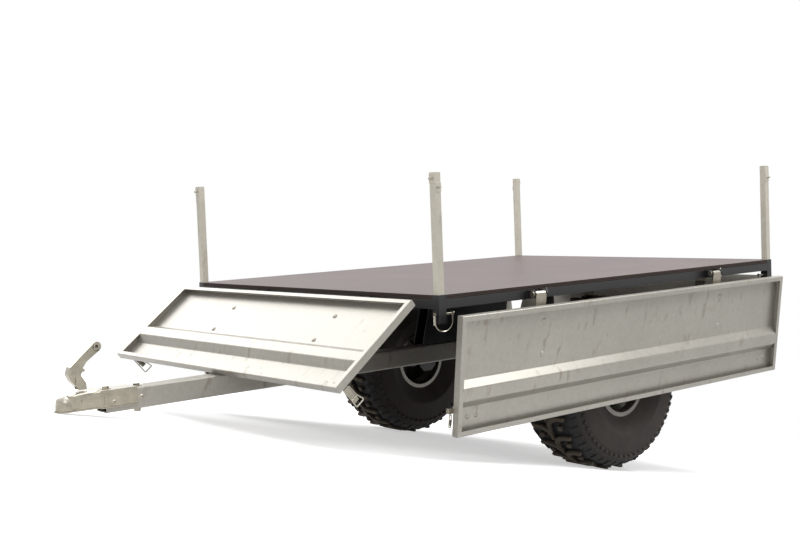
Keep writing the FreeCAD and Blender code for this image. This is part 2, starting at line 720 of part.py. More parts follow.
def corner_post(corner, across_share, side):
    """A lift-out post with a latch catch on each of its two outward faces."""
    body = new_body("Post_" + corner)
    x, y = corner_place(across_share, side)
    ahead = 1 if across_share == 0 else -1
    half = s.post_side / 2
    pad(body, "tube", "XY_Plane", square_ring(x, y, s.post_side, s.post_wall),
        -s.post_foot, s.post_foot + s.post_height)
    hole = s.lock_pin_radius + s.hinge_pin_play
    pocket(body, "pin_hole", "YZ_Plane", [], x - s.post_side, 2 * s.post_side,
           [(y, -s.lock_pin_drop, hole)])
    catch_z = s.post_height - s.side_catch_drop
    low, high = catch_z - s.catch_plate_height / 2, catch_z + s.catch_plate_height / 2
    plate_start = y + half if side > 0 else y - half - s.catch_plate
    stub_start = y + half if side > 0 else y - half - s.catch_plate - s.catch_reach
    pad(body, "side_plate", "XZ_Plane", [rectangle(x - half, low, x + half, high)], plate_start,
        s.catch_plate)
    pad(body, "side_stub", "XZ_Plane", [], stub_start, s.catch_plate + s.catch_reach,
        [(x, catch_z, s.catch_radius)])
    catch_z = s.post_height - s.end_catch_drop
    low, high = catch_z - s.catch_plate_height / 2, catch_z + s.catch_plate_height / 2
    plate_start = x + half if ahead > 0 else x - half - s.catch_plate
    stub_start = x + half if ahead > 0 else x - half - s.catch_plate - s.catch_reach
    pad(body, "end_plate", "YZ_Plane", [rectangle(y - half, low, y + half, high)], plate_start,
        s.catch_plate)
    pad(body, "end_stub", "YZ_Plane", [], stub_start, s.catch_plate + s.catch_reach,
        [(y, catch_z, s.catch_radius)])
    keep(f"post_{corner}", body)


def lock_pins():
    """The four post lock pins along the trailer, each with a wire bail under its socket."""
    pins = []
    for corner, across_share, side in CORNERS:
        x, y = corner_place(across_share, side)
        ahead = 1 if across_share == 0 else -1
        centre = x + ahead * (s.socket_side / 2 + s.lock_pin_reach - s.lock_pin_length / 2)
        pin = doc.addObject("Part::Cylinder", "Pin_" + corner)
        bind(pin, "Radius", s.lock_pin_radius)
        bind(pin, "Height", s.lock_pin_length)
        pin.Placement = Placement(Vector(), Rotation(Vector(0, 1, 0), 90))
        for axis, place in zip("xyz", (centre - s.lock_pin_length / 2, y, -s.lock_pin_drop)):
            bind(pin, f"Placement.Base.{axis}", place)
        bail = new_body("Bail_" + corner)
        low = -s.lock_pin_drop - s.bail_leg
        high = -s.lock_pin_drop + s.bail_wire
        outer = s.lock_pin_length / 2
        inner = outer - 2 * s.bail_wire
        wire = [
            (centre - outer, low, Arc(outer)), (centre, low - outer, Arc(outer)), (centre + outer, low),
            (centre + outer, high), (centre + inner, high), (centre + inner, low, Arc(inner, False)),
            (centre, low - inner, Arc(inner, False)), (centre - inner, low), (centre - inner, high),
            (centre - outer, high),
        ]
        pad(bail, "wire", "XZ_Plane", [wire], y - s.bail_wire, 2 * s.bail_wire)
        fused = doc.addObject("Part::Fuse", "LockPin_" + corner)
        fused.Base, fused.Tool = pin, bail
        pins.append(fused)
    keep("lock_pins", joined("LockPins", pins))


def hinge_pins():
    """A headed pin through each pair of hinge lugs."""
    reach = s.strap_width / 2 + s.lug_play + s.lug_plate
    length = 2 * reach + s.hinge_pin_head
    pins = []
    places = [("side", x, sign) for x in (-s.side_hinge_front, -s.side_hinge_rear) for sign in (1, -1)]
    places += [("end", y, sign) for y in (s.end_hinge_left, -s.end_hinge_right) for sign in (1, -1)]
    for number, (kind, along, sign) in enumerate(places):
        shank = doc.addObject("Part::Cylinder", f"HingePin{number}")
        head = doc.addObject("Part::Cylinder", f"HingePinHead{number}")
        bind(shank, "Radius", s.hinge_pin_radius)
        bind(shank, "Height", length)
        bind(head, "Radius", s.barrel_radius)
        bind(head, "Height", s.hinge_pin_head)
        if kind == "side":
            turn = Rotation(Vector(0, 1, 0), 90)
            across = sign * (half_width + s.hinge_out)
            starts = ((along - reach - s.hinge_pin_head, across), (along + reach, across))
        else:
            turn = Rotation(Vector(1, 0, 0), -90)
            across = s.hinge_out if sign > 0 else -s.deck_length - s.hinge_out
            starts = ((across, along - reach), (across, along - reach - s.hinge_pin_head))
        for solid, (x, y) in zip((shank, head), starts):
            solid.Placement = Placement(Vector(), turn)
            for axis, place in zip("xyz", (x, y, hinge_z)):
                bind(solid, f"Placement.Base.{axis}", place)
        pin = doc.addObject("Part::MultiFuse", f"HeadedPin{number}")
        pin.Shapes = [shank, head]
        pins.append(pin)
    keep("hinge_pins", joined("HingePins", pins))


def panel_section():
    """The tray's section: across it from back to load side, and up from the hinge axis."""
    sheet_wall = s.panel_sheet
    back, front = s.hinge_out, s.hinge_out + s.panel_depth
    low, high = panel_foot, panel_foot + s.panel_height
    rib = [panel_foot + s.rib_start]
    for step in (s.rib_slope, s.rib_crest, s.rib_slope):
        rib.append(rib[-1] + step)
    shift = sheet_wall / 2
    return [
        (front, low), (back, low), (back, rib[0] + shift), (front - sheet_wall, rib[1] + shift),
        (front - sheet_wall, rib[2] - shift), (back, rib[3] - shift), (back, high), (front, high),
        (front, high - s.panel_lip), (front - sheet_wall, high - s.panel_lip),
        (front - sheet_wall, high - sheet_wall), (back + sheet_wall, high - sheet_wall),
        (back + sheet_wall, rib[3]), (front, rib[2]), (front, rib[1]), (back + sheet_wall, rib[0]),
        (back + sheet_wall, low + sheet_wall), (front - sheet_wall, low + sheet_wall),
        (front - sheet_wall, low + s.panel_lip), (front, low + s.panel_lip),
    ]


def drop_side(label, length, place):
    """A pressed tray in its hinge frame: X along the axis, Y to the load, Z up when shut."""
    body = new_body("Panel_" + label)
    back, front = s.hinge_out, s.hinge_out + s.panel_depth
    low, high = panel_foot, panel_foot + s.panel_height
    pad(body, "tray", "YZ_Plane", [panel_section()], -length / 2, length)
    for side, start in (("a", -length / 2), ("b", length / 2 - s.panel_sheet)):
        pad(body, f"end_{side}", "YZ_Plane", [rectangle(back, low, front, high)], start, s.panel_sheet)
    for side, start in (("a", -length / 2), ("b", length / 2 - s.panel_lip)):
        pad(body, f"lip_{side}", "YZ_Plane", [rectangle(front - s.panel_sheet, low, front, high)],
            start, s.panel_lip)
    keep(f"{label}_panel", body, place)


def hinge_straps(label, centres, strap_end, place):
    """Two straps down the back of a panel, each with an eye round its hinge pin."""
    straps = []
    outline = [
        (s.hinge_out, strap_end), (s.hinge_out - s.strap_thickness, strap_end),
        (s.hinge_out - s.strap_thickness, s.strap_bend), (-s.strap_thickness / 2, Size(0)),
        (s.strap_thickness / 2, Size(0)), (s.hinge_out, s.strap_bend),
    ]
    for number, centre in enumerate(centres):
        body = new_body(f"Strap_{label}{number}")
        start = centre - s.strap_width / 2
        pad(body, "blade", "YZ_Plane", [outline], start, s.strap_width)
        pad(body, "eye", "YZ_Plane", [], start, s.strap_width, [(Size(0), Size(0), s.barrel_radius)])
        pocket(body, "bore", "YZ_Plane", [], start - overrun, s.strap_width + 2 * overrun,
               [(Size(0), Size(0), s.hinge_pin_radius + s.hinge_pin_play)])
        straps.append(body)
    keep(f"{label}_straps", joined("Straps_" + label, straps), place)


def panel_latches(label, length, catch_drop, place):
    """A toggle latch with a wire loop on the back of each free corner."""
    latches = []
    back = s.hinge_out
    centre = s.hinge_drop + s.post_height - catch_drop
    for side in (-1, 1):
        body = new_body(f"Latch_{label}{side + 1}")
        base_low = side * (length / 2 - s.latch_inset) - (s.latch_length if side > 0 else Size(0))
        base_start = base_low
        pad(body, "base", "YZ_Plane", [rectangle(
            back - s.latch_plate, centre - s.latch_width / 2, back, centre + s.latch_width / 2)],
            base_start, s.latch_length)
        lever_start = base_start + (s.latch_length - s.latch_lever if side < 0 else Size(0))
        lever_low = back - s.latch_plate - s.latch_lever_height
        pad(body, "lever", "YZ_Plane", [rectangle(
            lever_low, centre - s.latch_lever_width / 2, back - s.latch_plate,
            centre + s.latch_lever_width / 2)], lever_start, s.latch_lever)
        inner_end = side * (length / 2 - s.latch_inset - s.latch_length / 2)
        outer_end = side * (length / 2 + s.loop_reach)
        low_x, high_x = (inner_end, outer_end) if side > 0 else (outer_end, inner_end)
        loop = [
            rectangle(low_x, centre - s.loop_width / 2, high_x, centre + s.loop_width / 2),
            rectangle(low_x + s.loop_wire, centre - s.loop_width / 2 + s.loop_wire,
                      high_x - s.loop_wire, centre + s.loop_width / 2 - s.loop_wire),
        ]
        pad(body, "loop", "XZ_Plane", loop, lever_low - s.loop_wire / 2, s.loop_wire)
        latches.append(body)
    keep(f"{label}_latches", joined("Latches_" + label, latches), place)


def wheel_place(side):
    """The wheel frame: Y along the axle, plus side outboard, a lug's corner on the floor."""
    corner = math.atan2(BAR_SHARES[0][0] * float(lug_pitch), float(lug_tip))
    roll = side * (180 - PARKED_PITCH) - math.degrees(corner)
    face = Rotation() if side > 0 else Rotation(Vector(0, 0, 1), 180)
    turn = face.multiply(Rotation(Vector(0, 1, 0), roll))
    return Placement(Vector(float(axle_x), side * float(wheel_y), float(axle_z)), turn)


def around_axle(body, name, features, count):
    """Repeat features evenly round the wheel's axis."""
    pattern = body.newObject("PartDesign::PolarPattern", name)
    pattern.Originals = features
    pattern.Axis = (origin_part(body, "Y_Axis"), [""])
    pattern.Angle = 360
    pattern.Occurrences = count
    body.Tip = pattern


def rim(label, side):
    """A dished steel wheel: lips, bead seats, well and bolted disc."""
    body = new_body("Rim_" + label)
    wall = s.rim_wall
    half = s.rim_width / 2
    seat = half - s.rim_seat
    well = seat - s.rim_ramp
    bead, lip, low = s.rim_bead_radius, s.rim_lip_radius, s.rim_well_radius
    section = [
        (bead, half - wall), (lip, half - wall), (lip, half), (bead - wall, half),
        (bead - wall, seat), (low - wall, well), (low - wall, -well), (bead - wall, -seat),
        (bead - wall, -half), (lip, -half), (lip, -half + wall), (bead, -half + wall),
        (bead, -seat), (low, -well), (low, well), (bead, seat),
    ]
    turned(body, "barrel", "XY_Plane", section, "Y_Axis")
    hole = s.hub_radius + s.lug_play / 2
    inner = s.disc_offset
    knee = s.hub_flange_radius + s.bolt_radius
    disc = [
        (hole, inner), (knee, inner), (low - wall, inner - s.disc_dish),
        (low - wall, inner - s.disc_dish + s.disc_plate), (knee + s.disc_plate / 2, inner + s.disc_plate),
        (hole, inner + s.disc_plate),
    ]
    turned(body, "disc", "XY_Plane", disc, "Y_Axis")
    hole = pocket(body, "bolt_hole", "XZ_Plane", [], inner - s.disc_plate, 3 * s.disc_plate,
                  [(s.bolt_circle, Size(0), s.stud_radius + s.stud_play)])
    around_axle(body, "bolt_holes", [hole], WHEEL_BOLTS)
    keep(f"rim_{label}", body, wheel_place(side))


def hub(label, side):
    """The turning hub: barrel, bolt flange, wheel nuts and grease cap."""
    body = new_body("Hub_" + label)
    bore = s.spindle_radius + s.hub_play
    flange_back = s.disc_offset - s.hub_flange
    outer = s.hub_outer
    section = [
        (bore, -s.hub_inner), (s.hub_radius, -s.hub_inner), (s.hub_radius, flange_back),
        (s.hub_flange_radius, flange_back), (s.hub_flange_radius, s.disc_offset),
        (s.hub_radius, s.disc_offset), (s.hub_radius, outer), (s.hub_cap_radius, outer),
        (s.hub_cap_radius, outer + s.hub_cap), (Size(0), outer + s.hub_cap), (Size(0), outer),
        (bore, outer),
    ]
    turned(body, "barrel", "XY_Plane", section, "Y_Axis")
    disc_face = s.disc_offset + s.disc_plate
    stud = pad(body, "stud", "XZ_Plane", [], s.disc_offset, s.disc_plate + s.bolt_height,
               [(s.bolt_circle, Size(0), s.stud_radius)])
    nut = pad(body, "nut", "XZ_Plane", [], disc_face, s.nut_height,
              [(s.bolt_circle, Size(0), s.bolt_radius)])
    around_axle(body, "studs", [stud, nut], WHEEL_BOLTS)
    keep(f"hub_{label}", body, wheel_place(side))


# The tread's lugs in plan: along the tread as shares of the pitch, across it as shares of
# half the tread width, from the middle line outwards.
BAR_SHARES = ((-0.3, 0.04), (0.02, -0.05), (0.3, 0.34), (0.26, 0.66), (-0.04, 0.64))
BLOCK_SHARES = ((-0.3, 0.77), (0.2, 0.77), (0.24, 1.0), (-0.26, 1.0))


def tread_pad(body, name, shares, mirrored, turn, root, tip):
    """Lugs on a plane across a radius that is turned from the vertical about the axle."""
    half = s.tread_width / 2 * (-1 if mirrored else 1)
    outline = [(lug_pitch * along, half * across) for along, across in shares]
    sketch = new_sketch(body, name + "_outline", "XY_Plane", [outline])
    sketch.AttachmentOffset = Placement(Vector(), Rotation(Vector(0, 1, 0), math.degrees(turn)))
    bind(sketch, "AttachmentOffset.Base.x", root * math.sin(turn))
    bind(sketch, "AttachmentOffset.Base.z", root * math.cos(turn))
    feature = body.newObject("PartDesign::Pad", name)
    feature.Profile = sketch
    bind(feature, "Length", tip - root)
    return feature


def mirrored_outline(corners):
    """An outline that is the same on both sides of the second axis, from its one half."""
    return corners + [(-corner[0], corner[1]) for corner in reversed(corners)]


def tyre_pitch(name):
    """One pitch of the tyre above the axle: a straight piece of carcass, mitred, with four lugs."""
    body = new_body(name)
    crown = s.tyre_radius - s.lug_height
    tread = s.tread_width / 2
    shoulder = crown - s.lug_height
    hip = shoulder - s.hip_drop
    seat = s.rim_width / 2 - s.rim_wall
    wall = s.tyre_wall
    half_turn = math.pi / LUG_PITCHES
    bead = s.rim_bead_radius
    clear = s.rim_lip_radius + s.lug_play
    bulge = (hip + clear) / 2
    outside = [
        (tread * 0.8, crown), (tread, shoulder), (tread + s.hip_step, hip), (s.tyre_width / 2, bulge),
        (seat, clear), (seat, bead),
    ]
    inside = [
        (seat - wall, bead), (s.tyre_width / 2 - wall, bulge), (tread * 0.78, shoulder - wall),
        (tread * 0.6, crown - wall),
    ]
    half_length = lug_pitch * 0.55
    pad(body, "carcass", "YZ_Plane", [mirrored_outline(outside + inside)], -half_length, 2 * half_length)
    slope = math.tan(half_turn)
    low, high = bead * 0.9, s.tyre_radius
    beyond = [(low * slope, low), (lug_pitch, low), (lug_pitch, high), (high * slope, high)]
    behind = [(-corner[0], corner[1]) for corner in beyond]
    pocket(body, "mitre", "XZ_Plane", [beyond, behind], -s.tyre_width, 2 * s.tyre_width)
    for mirrored, turn in ((False, 0.0), (True, half_turn)):
        title = "right" if mirrored else "left"
        tread_pad(body, f"bar_{title}", BAR_SHARES, mirrored, turn, crown - wall / 2, lug_tip)
        tread_pad(body, f"block_{title}", BLOCK_SHARES, mirrored, turn, shoulder - wall / 2,
                  lug_tip - s.shoulder_drop)
    return body


def tyre(label, side):
    """A fat tyre: its pitches, joined into one ring round the axle."""
    pitch = tyre_pitch("TyrePitch_" + label)
    ring = []
    for number in range(LUG_PITCHES):
        copy = doc.addObject("App::Link", f"Pitch_{label}{number}")
        copy.LinkedObject = pitch
        copy.Placement = Placement(Vector(), Rotation(Vector(0, 1, 0), number * 360 / LUG_PITCHES))
        ring.append(copy)
    fused = doc.addObject("Part::MultiFuse", "Tyre_" + label)
    fused.Shapes = ring
    keep(f"tyre_{label}", fused, wheel_place(side))


def parking_angle():
    """How far the nose goes down, in degrees, until the coupler's rim meets the floor."""
    rim_x = float(s.ball_reach + s.ball_radius + s.cup_wall + s.cup_lip)
    rim_z = -float(s.ball_drop + s.cup_skirt + s.cup_lip_height)
    ahead = rim_x - float(axle_x)
    above = rim_z - float(axle_z)
    return math.degrees(math.asin(float(s.tyre_radius) / math.hypot(ahead, above)) + math.atan2(above, ahead))


def front_angle():
    """How far the front panel opens, in degrees, until its edge lies on the drawbar."""
    top = float(panel_foot + s.panel_height)
    reach = math.hypot(float(s.hinge_out), top)
    fall = float(s.drawbar_drop - s.hinge_drop - s.panel_rest)
    return math.degrees(math.acos(-fall / reach) + math.atan2(float(s.hinge_out), top))


def hinge_place(side, opened):
    """The hinge frame of a panel, opened by a number of degrees."""
    out = float(s.hinge_out)
    places = {
        "left": (Vector(float(-s.deck_length) / 2, float(half_width) + out, float(hinge_z)), 180),
        "right": (Vector(float(-s.deck_length) / 2, -float(half_width) - out, float(hinge_z)), 0),
        "front": (Vector(out, 0, float(hinge_z)), 90),
        "rear": (Vector(-float(s.deck_length) - out, 0, float(hinge_z)), -90),
    }
    base, yaw = places[side]
    return Placement(base, Rotation(Vector(0, 0, 1), yaw)).multiply(
        Placement(Vector(), Rotation(Vector(1, 0, 0), opened)))


PARKED_PITCH = parking_angle()
OPENED = {
    "left": float(s.side_open), "right": float(s.side_open), "front": front_angle(),
    "rear": float(s.rear_open) + PARKED_PITCH,
}


def panels():
    """The four drop sides with their straps and latches."""
    middle = s.deck_length / 2
    centres = {
        "left": (s.side_hinge_front - middle, s.side_hinge_rear - middle),
        "right": (middle - s.side_hinge_front, middle - s.side_hinge_rear),
        "front": (s.end_hinge_left, -s.end_hinge_right),
        "rear": (-s.end_hinge_left, s.end_hinge_right),
    }
    for side in ("left", "right", "front", "rear"):
        lengthways = side in ("left", "right")
        length = side_panel_length if lengthways else end_panel_length
        place = hinge_place(side, OPENED[side])
        drop_side(side, length, place)
        hinge_straps(side, centres[side], s.side_strap if lengthways else s.end_strap, place)
        panel_latches(side, length, s.side_catch_drop if lengthways else s.end_catch_drop, place)


def build():
    """Make every sub-part and put the parked trailer on the floor."""
    deck_board()
    side_rail("LeftRail", "left_rail", 1)
    side_rail("RightRail", "right_rail", -1)
    end_rail("FrontRail", "front_rail", 1, Size(0))
    end_rail("RearRail", "rear_rail", -1, -s.deck_length)
    cross_rails()
    bearers()
    axle_uprights()
    pedestal()
    axle_beam()
    stub_axle("StubLeft", "stub_axle_left", 1)
    stub_axle("StubRight", "stub_axle_right", -1)
    drawbar()
    coupler_body()
    coupler_lever()
    for corner in CORNERS:
        corner_socket(*corner)
        corner_post(*corner)
    lock_pins()
    hinge_pins()
    panels()
    for label, side in (("left", 1), ("right", -1)):
        rim(label, side)
        hub(label, side)
        tyre(label, side)
    doc.recompute()


def park():
    """Tip the nose to the floor and move the origin to the middle of the footprint's box."""
    tip = Placement(Vector(), Rotation(Vector(0, 1, 0), PARKED_PITCH))
    wheel = tip.multVec(Vector(float(axle_x), 0, float(axle_z)))
    lift = Vector(0, 0, float(s.tyre_radius) - wheel.z)
    for label, (piece, place) in pieces.items():
        if piece.Shape.isNull() or not piece.Shape.Solids:
            raise RuntimeError(f"{label} has no solid")
    for _ in range(2):
        for piece, place in pieces.values():
            piece.Placement = Placement(lift, tip.Rotation).multiply(place)
        doc.recompute()
        box = FreeCAD.BoundBox()
        for piece, place in pieces.values():
            box.add(piece.Shape.optimalBoundingBox(False))
        lift = lift - Vector((box.XMin + box.XMax) / 2, 0, box.ZMin)
    return Placement(lift + Vector((box.XMin + box.XMax) / 2, 0, box.ZMin), tip.Rotation)


def check():
    """Stop before anything is written if an object failed or a shape is bad."""
    for item in doc.Objects:
        if "Invalid" in item.State or "Error" in item.State:
            raise RuntimeError(f"{item.Name} did not build: {item.State}")
    for label, (piece, place) in pieces.items():
        if piece.Shape.isNull() or not piece.Shape.isValid():
            raise RuntimeError(f"{label} has a bad shape")


def write():
    os.makedirs("parts", exist_ok=True)
    for label, (piece, place) in pieces.items():
        piece.Shape.exportStep(f"parts/{label}.step")


build()
PARKED = park()
check()
write()
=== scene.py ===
"""Looks of a small off-road flatbed trailer: finishes, fine parts and a plain studio.

Sizes of new parts are drawn in the trailer frame in millimetres: X forward to the coupler,
Y to the trailer's left, Z up, with the origin at the middle of the deck's front edge.
"""

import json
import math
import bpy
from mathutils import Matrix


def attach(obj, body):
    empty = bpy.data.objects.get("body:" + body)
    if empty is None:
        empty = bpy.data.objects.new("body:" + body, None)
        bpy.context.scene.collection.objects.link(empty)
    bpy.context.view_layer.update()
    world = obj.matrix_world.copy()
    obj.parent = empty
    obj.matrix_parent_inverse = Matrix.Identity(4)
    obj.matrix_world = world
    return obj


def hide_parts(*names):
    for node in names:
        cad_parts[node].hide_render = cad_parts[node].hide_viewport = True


bl_info = {
    "name": "Flatbed trailer looks",
    "version": (1, 0),
    "blender": (4, 5, 0),
    "location": "3D View > Sidebar > Trailer",
    "description": "Finishes, fine parts and studio for an off-road flatbed trailer",
    "category": "Object",
}

from collections import namedtuple

import bmesh
import bpy
from mathutils import Matrix, Vector

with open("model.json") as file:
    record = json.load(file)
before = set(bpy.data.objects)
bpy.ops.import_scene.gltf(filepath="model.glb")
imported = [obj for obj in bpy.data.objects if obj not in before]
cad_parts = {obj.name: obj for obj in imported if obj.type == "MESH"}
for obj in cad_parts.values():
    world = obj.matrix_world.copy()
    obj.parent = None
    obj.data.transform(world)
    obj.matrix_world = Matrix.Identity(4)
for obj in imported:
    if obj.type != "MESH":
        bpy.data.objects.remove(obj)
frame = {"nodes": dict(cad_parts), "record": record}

MM = 0.001
DECK_MIDDLE = -937.5  # from the deck's front edge


def trailer_frame():
    """The trailer frame's place at rest, from the record's mount on the deck."""
    mount = next(m for m in frame["record"]["mounts"] if m["name"] == "deck_top")
    up = Vector(mount["axis"]).normalized()
    ahead = Vector((up.z, 0, -up.x))
    left = up.cross(ahead)
    turn = Matrix((ahead, left, up)).transposed().to_4x4()
    deck_middle = Vector((DECK_MIDDLE, 0, 0)) * MM
    return Matrix.Translation(Vector(mount["pos_m"]) - turn @ deck_middle) @ turn


TRAILER = trailer_frame() @ Matrix.Scale(MM, 4)
UP = (TRAILER.to_3x3() @ Vector((0, 0, 1))).normalized()
PITCH = math.atan2(UP.x, UP.z)
WHEELS = (("left", 1), ("right", -1))
AXLE = (-953, 569, -408)
TYRE_RADIUS = 325
NODE_SLOTS = {
    "plywood_film": ("deck_board",),
    "black_paint": (
        "left_rail", "right_rail", "front_rail", "rear_rail", "cross_rails", "bearers",
        "axle_uprights", "pedestal", "axle_beam", "stub_axle_left", "stub_axle_right",
        "socket_front_left", "socket_front_right", "socket_rear_left", "socket_rear_right"),
    "galvanised": ("drawbar", "left_panel", "right_panel", "front_panel", "rear_panel"),
    "galvanised_tube": ("post_front_left", "post_front_right", "post_rear_left", "post_rear_right"),
    "zinc_plated": (
        "coupler_body", "coupler_lever", "lock_pins", "hinge_pins", "left_straps", "right_straps",
        "front_straps", "rear_straps", "left_latches", "right_latches", "front_latches",
        "rear_latches"),
    "wheel_silver": ("rim_left", "rim_right"),
    "hub_paint": ("hub_left", "hub_right"),
    "tyre_rubber": ("tyre_left", "tyre_right"),
}


def linear(colour):
    """The linear RGBA of an sRGB hex colour such as #8c8a85."""
    parts = [int(colour[n:n + 2], 16) / 255 for n in (1, 3, 5)]
    return [c / 12.92 if c <= 0.04045 else ((c + 0.055) / 1.055) ** 2.4 for c in parts] + [1.0]


def add_node(tree, kind, links=None, stops=None, **settings):
    """Add a node; links gives its sockets a value or another socket, stops its colour ramp."""
    made = tree.nodes.new(kind)
    for name, value in settings.items():
        setattr(made, name, value)
    for name, value in (links or {}).items():
        socket = made.inputs[name]
        if isinstance(value, bpy.types.NodeSocket):
            tree.links.new(value, socket)
        else:
            socket.default_value = value
    if stops:
        elements = made.color_ramp.elements
        for element, (position, colour) in zip(elements, stops):
            element.position = position
            element.color = linear(colour)
    return made


def new_material(name):
    """An empty node material with its coordinates node's outputs."""
    material = bpy.data.materials.new(name)
    material.use_nodes = True
    tree = material.node_tree
    tree.nodes.clear()
    return material, tree, add_node(tree, "ShaderNodeTexCoord").outputs


def surface(tree, colour, rough, height, strength, distance, more):
    """End a tree with a principled shader; its bump is a height, a strength and metres."""
    bump = add_node(tree, "ShaderNodeBump", {
        "Height": height, "Strength": strength, "Distance": distance})
    shader = add_node(tree, "ShaderNodeBsdfPrincipled", {
        "Base Color": colour, "Roughness": rough, "Normal": bump.outputs["Normal"], **more})
    add_node(tree, "ShaderNodeOutputMaterial", {"Surface": shader.outputs["BSDF"]})


def film_faced_plywood(colours):
    """Birch plywood under a brown phenolic film, pressed smooth: a dull satin face, raw ply edges."""
    material, tree, place = new_material("film_faced_plywood")
    turned = add_node(tree, "ShaderNodeMapping", {
        "Vector": place["Object"], "Rotation": (0, -PITCH, 0)})
    # Clouding of the film, patches of about 300 mm
    cloud = add_node(tree, "ShaderNodeTexNoise", {
        "Vector": turned.outputs["Vector"], "Scale": 3.3, "Detail": 4.0, "Roughness": 0.55})
    face = add_node(tree, "ShaderNodeValToRGB", {"Fac": cloud.outputs["Fac"]}, stops=(
        (0.3, colours.film_dark), (0.7, colours.film_light)))
    # Plies drawn 3 mm thick, twice the real ones, so that they still show from a few metres
    layers = add_node(tree, "ShaderNodeTexWave", {
        "Vector": turned.outputs["Vector"], "Scale": 52.0, "Distortion": 0.6, "Detail": 1.0},
        bands_direction="Z")
    edge = add_node(tree, "ShaderNodeValToRGB", {"Fac": layers.outputs["Fac"]}, stops=(
        (0.2, colours.ply_dark), (0.8, colours.ply_light)))
    # Film on the faces that look up or down, plies on the edges
    upright = add_node(tree, "ShaderNodeVectorMath", {
        0: place["Normal"], 1: tuple(UP)}, operation="DOT_PRODUCT")
    flat = add_node(tree, "ShaderNodeMath", {0: upright.outputs["Value"]}, operation="ABSOLUTE")
    is_face = add_node(tree, "ShaderNodeMath", {
        0: flat.outputs["Value"], 1: 0.7}, operation="GREATER_THAN")
    colour = add_node(tree, "ShaderNodeMix", {
        "Factor": is_face.outputs["Value"], "A": edge.outputs["Color"], "B": face.outputs["Color"]},
        data_type="RGBA")
    satin = add_node(tree, "ShaderNodeMapRange", {
        "Value": cloud.outputs["Fac"], "To Min": 0.4, "To Max": 0.5})
    rough = add_node(tree, "ShaderNodeMix", {
        "Factor": is_face.outputs["Value"], "A": 0.85, "B": satin.outputs["Result"]})
    # Fine press marks every 8 mm
    marks = add_node(tree, "ShaderNodeTexNoise", {
        "Vector": turned.outputs["Vector"], "Scale": 125.0, "Detail": 2.0})
    surface(tree, colour.outputs["Result"], rough.outputs["Result"], marks.outputs["Fac"],
            0.15, 0.0006, {"IOR": 1.42})
    return material


def black_stove_enamel(colours):
    """Stoved black paint on welded steel tube: satin, a fine orange peel, a little dust."""
    material, tree, place = new_material("black_stove_enamel")
    dust = add_node(tree, "ShaderNodeTexNoise", {
        "Vector": place["Object"], "Scale": 9.0, "Detail": 6.0, "Roughness": 0.6})
    colour = add_node(tree, "ShaderNodeValToRGB", {"Fac": dust.outputs["Fac"]}, stops=(
        (0.35, colours.enamel_black), (0.75, colours.enamel_dust)))
    rough = add_node(tree, "ShaderNodeMapRange", {
        "Value": dust.outputs["Fac"], "To Min": 0.32, "To Max": 0.5})
    # Orange peel with a 4 mm wave
    peel = add_node(tree, "ShaderNodeTexNoise", {
        "Vector": place["Object"], "Scale": 250.0, "Detail": 1.0})
    surface(tree, colour.outputs["Color"], rough.outputs["Result"], peel.outputs["Fac"],
            0.2, 0.0004, {"IOR": 1.5})
    return material


def galvanised_sheet(colours):
    """Zinc-coated sheet, rolled and then folded: a grey, even skin with faint crystals."""
    return zinc_skin("galvanised_sheet", colours.zinc_dark, colours.zinc_light, colours.zinc_drip)


def hot_dipped_tube(colours):
    """Tube dipped in zinc after welding: a lighter and warmer skin than the sheet's."""
    return zinc_skin("hot_dipped_tube", colours.tube_dark, colours.tube_light, colours.tube_drip)


def zinc_skin(name, dark, light, drip):
    """A dull silver skin of zinc with faint crystals, soft clouds and drips that ran down it."""
    material, tree, place = new_material(name)
    # Zinc spangle of about 12 mm
    spangle = add_node(tree, "ShaderNodeTexVoronoi", {"Vector": place["Object"], "Scale": 85.0})
    grey = add_node(tree, "ShaderNodeSeparateColor", {"Color": spangle.outputs["Color"]})
    cloud = add_node(tree, "ShaderNodeTexNoise", {
        "Vector": place["Object"], "Scale": 4.0, "Detail": 5.0, "Roughness": 0.6})
    tone = add_node(tree, "ShaderNodeMix", {
        "Factor": 0.8, "A": grey.outputs["Red"], "B": cloud.outputs["Fac"]})
    clean = add_node(tree, "ShaderNodeValToRGB", {"Fac": tone.outputs["Result"]}, stops=(
        (0.2, dark), (0.8, light)))
    # Drips about 15 mm wide and three times as long, gathered in patches
    along = add_node(tree, "ShaderNodeMapping", {
        "Vector": place["Object"], "Scale": (1.0, 1.0, 0.33)})
    run = add_node(tree, "ShaderNodeTexNoise", {
        "Vector": along.outputs["Vector"], "Scale": 38.0, "Detail": 3.0})
    patch = add_node(tree, "ShaderNodeMapRange", {
        "Value": cloud.outputs["Fac"], "From Min": 0.44, "From Max": 0.56, "To Max": 0.6})
    stain = add_node(tree, "ShaderNodeMapRange", {
        "Value": run.outputs["Fac"], "From Min": 0.58, "From Max": 0.7,
        "To Max": patch.outputs["Result"]})
    colour = add_node(tree, "ShaderNodeMix", {
        "Factor": stain.outputs["Result"], "A": clean.outputs["Color"], "B": linear(drip)},
        data_type="RGBA")
    rough = add_node(tree, "ShaderNodeMapRange", {
        "Value": tone.outputs["Result"], "To Min": 0.3, "To Max": 0.42})
    surface(tree, colour.outputs["Result"], rough.outputs["Result"], cloud.outputs["Fac"],
            0.03, 0.002, {"Metallic": 0.4})
    return material


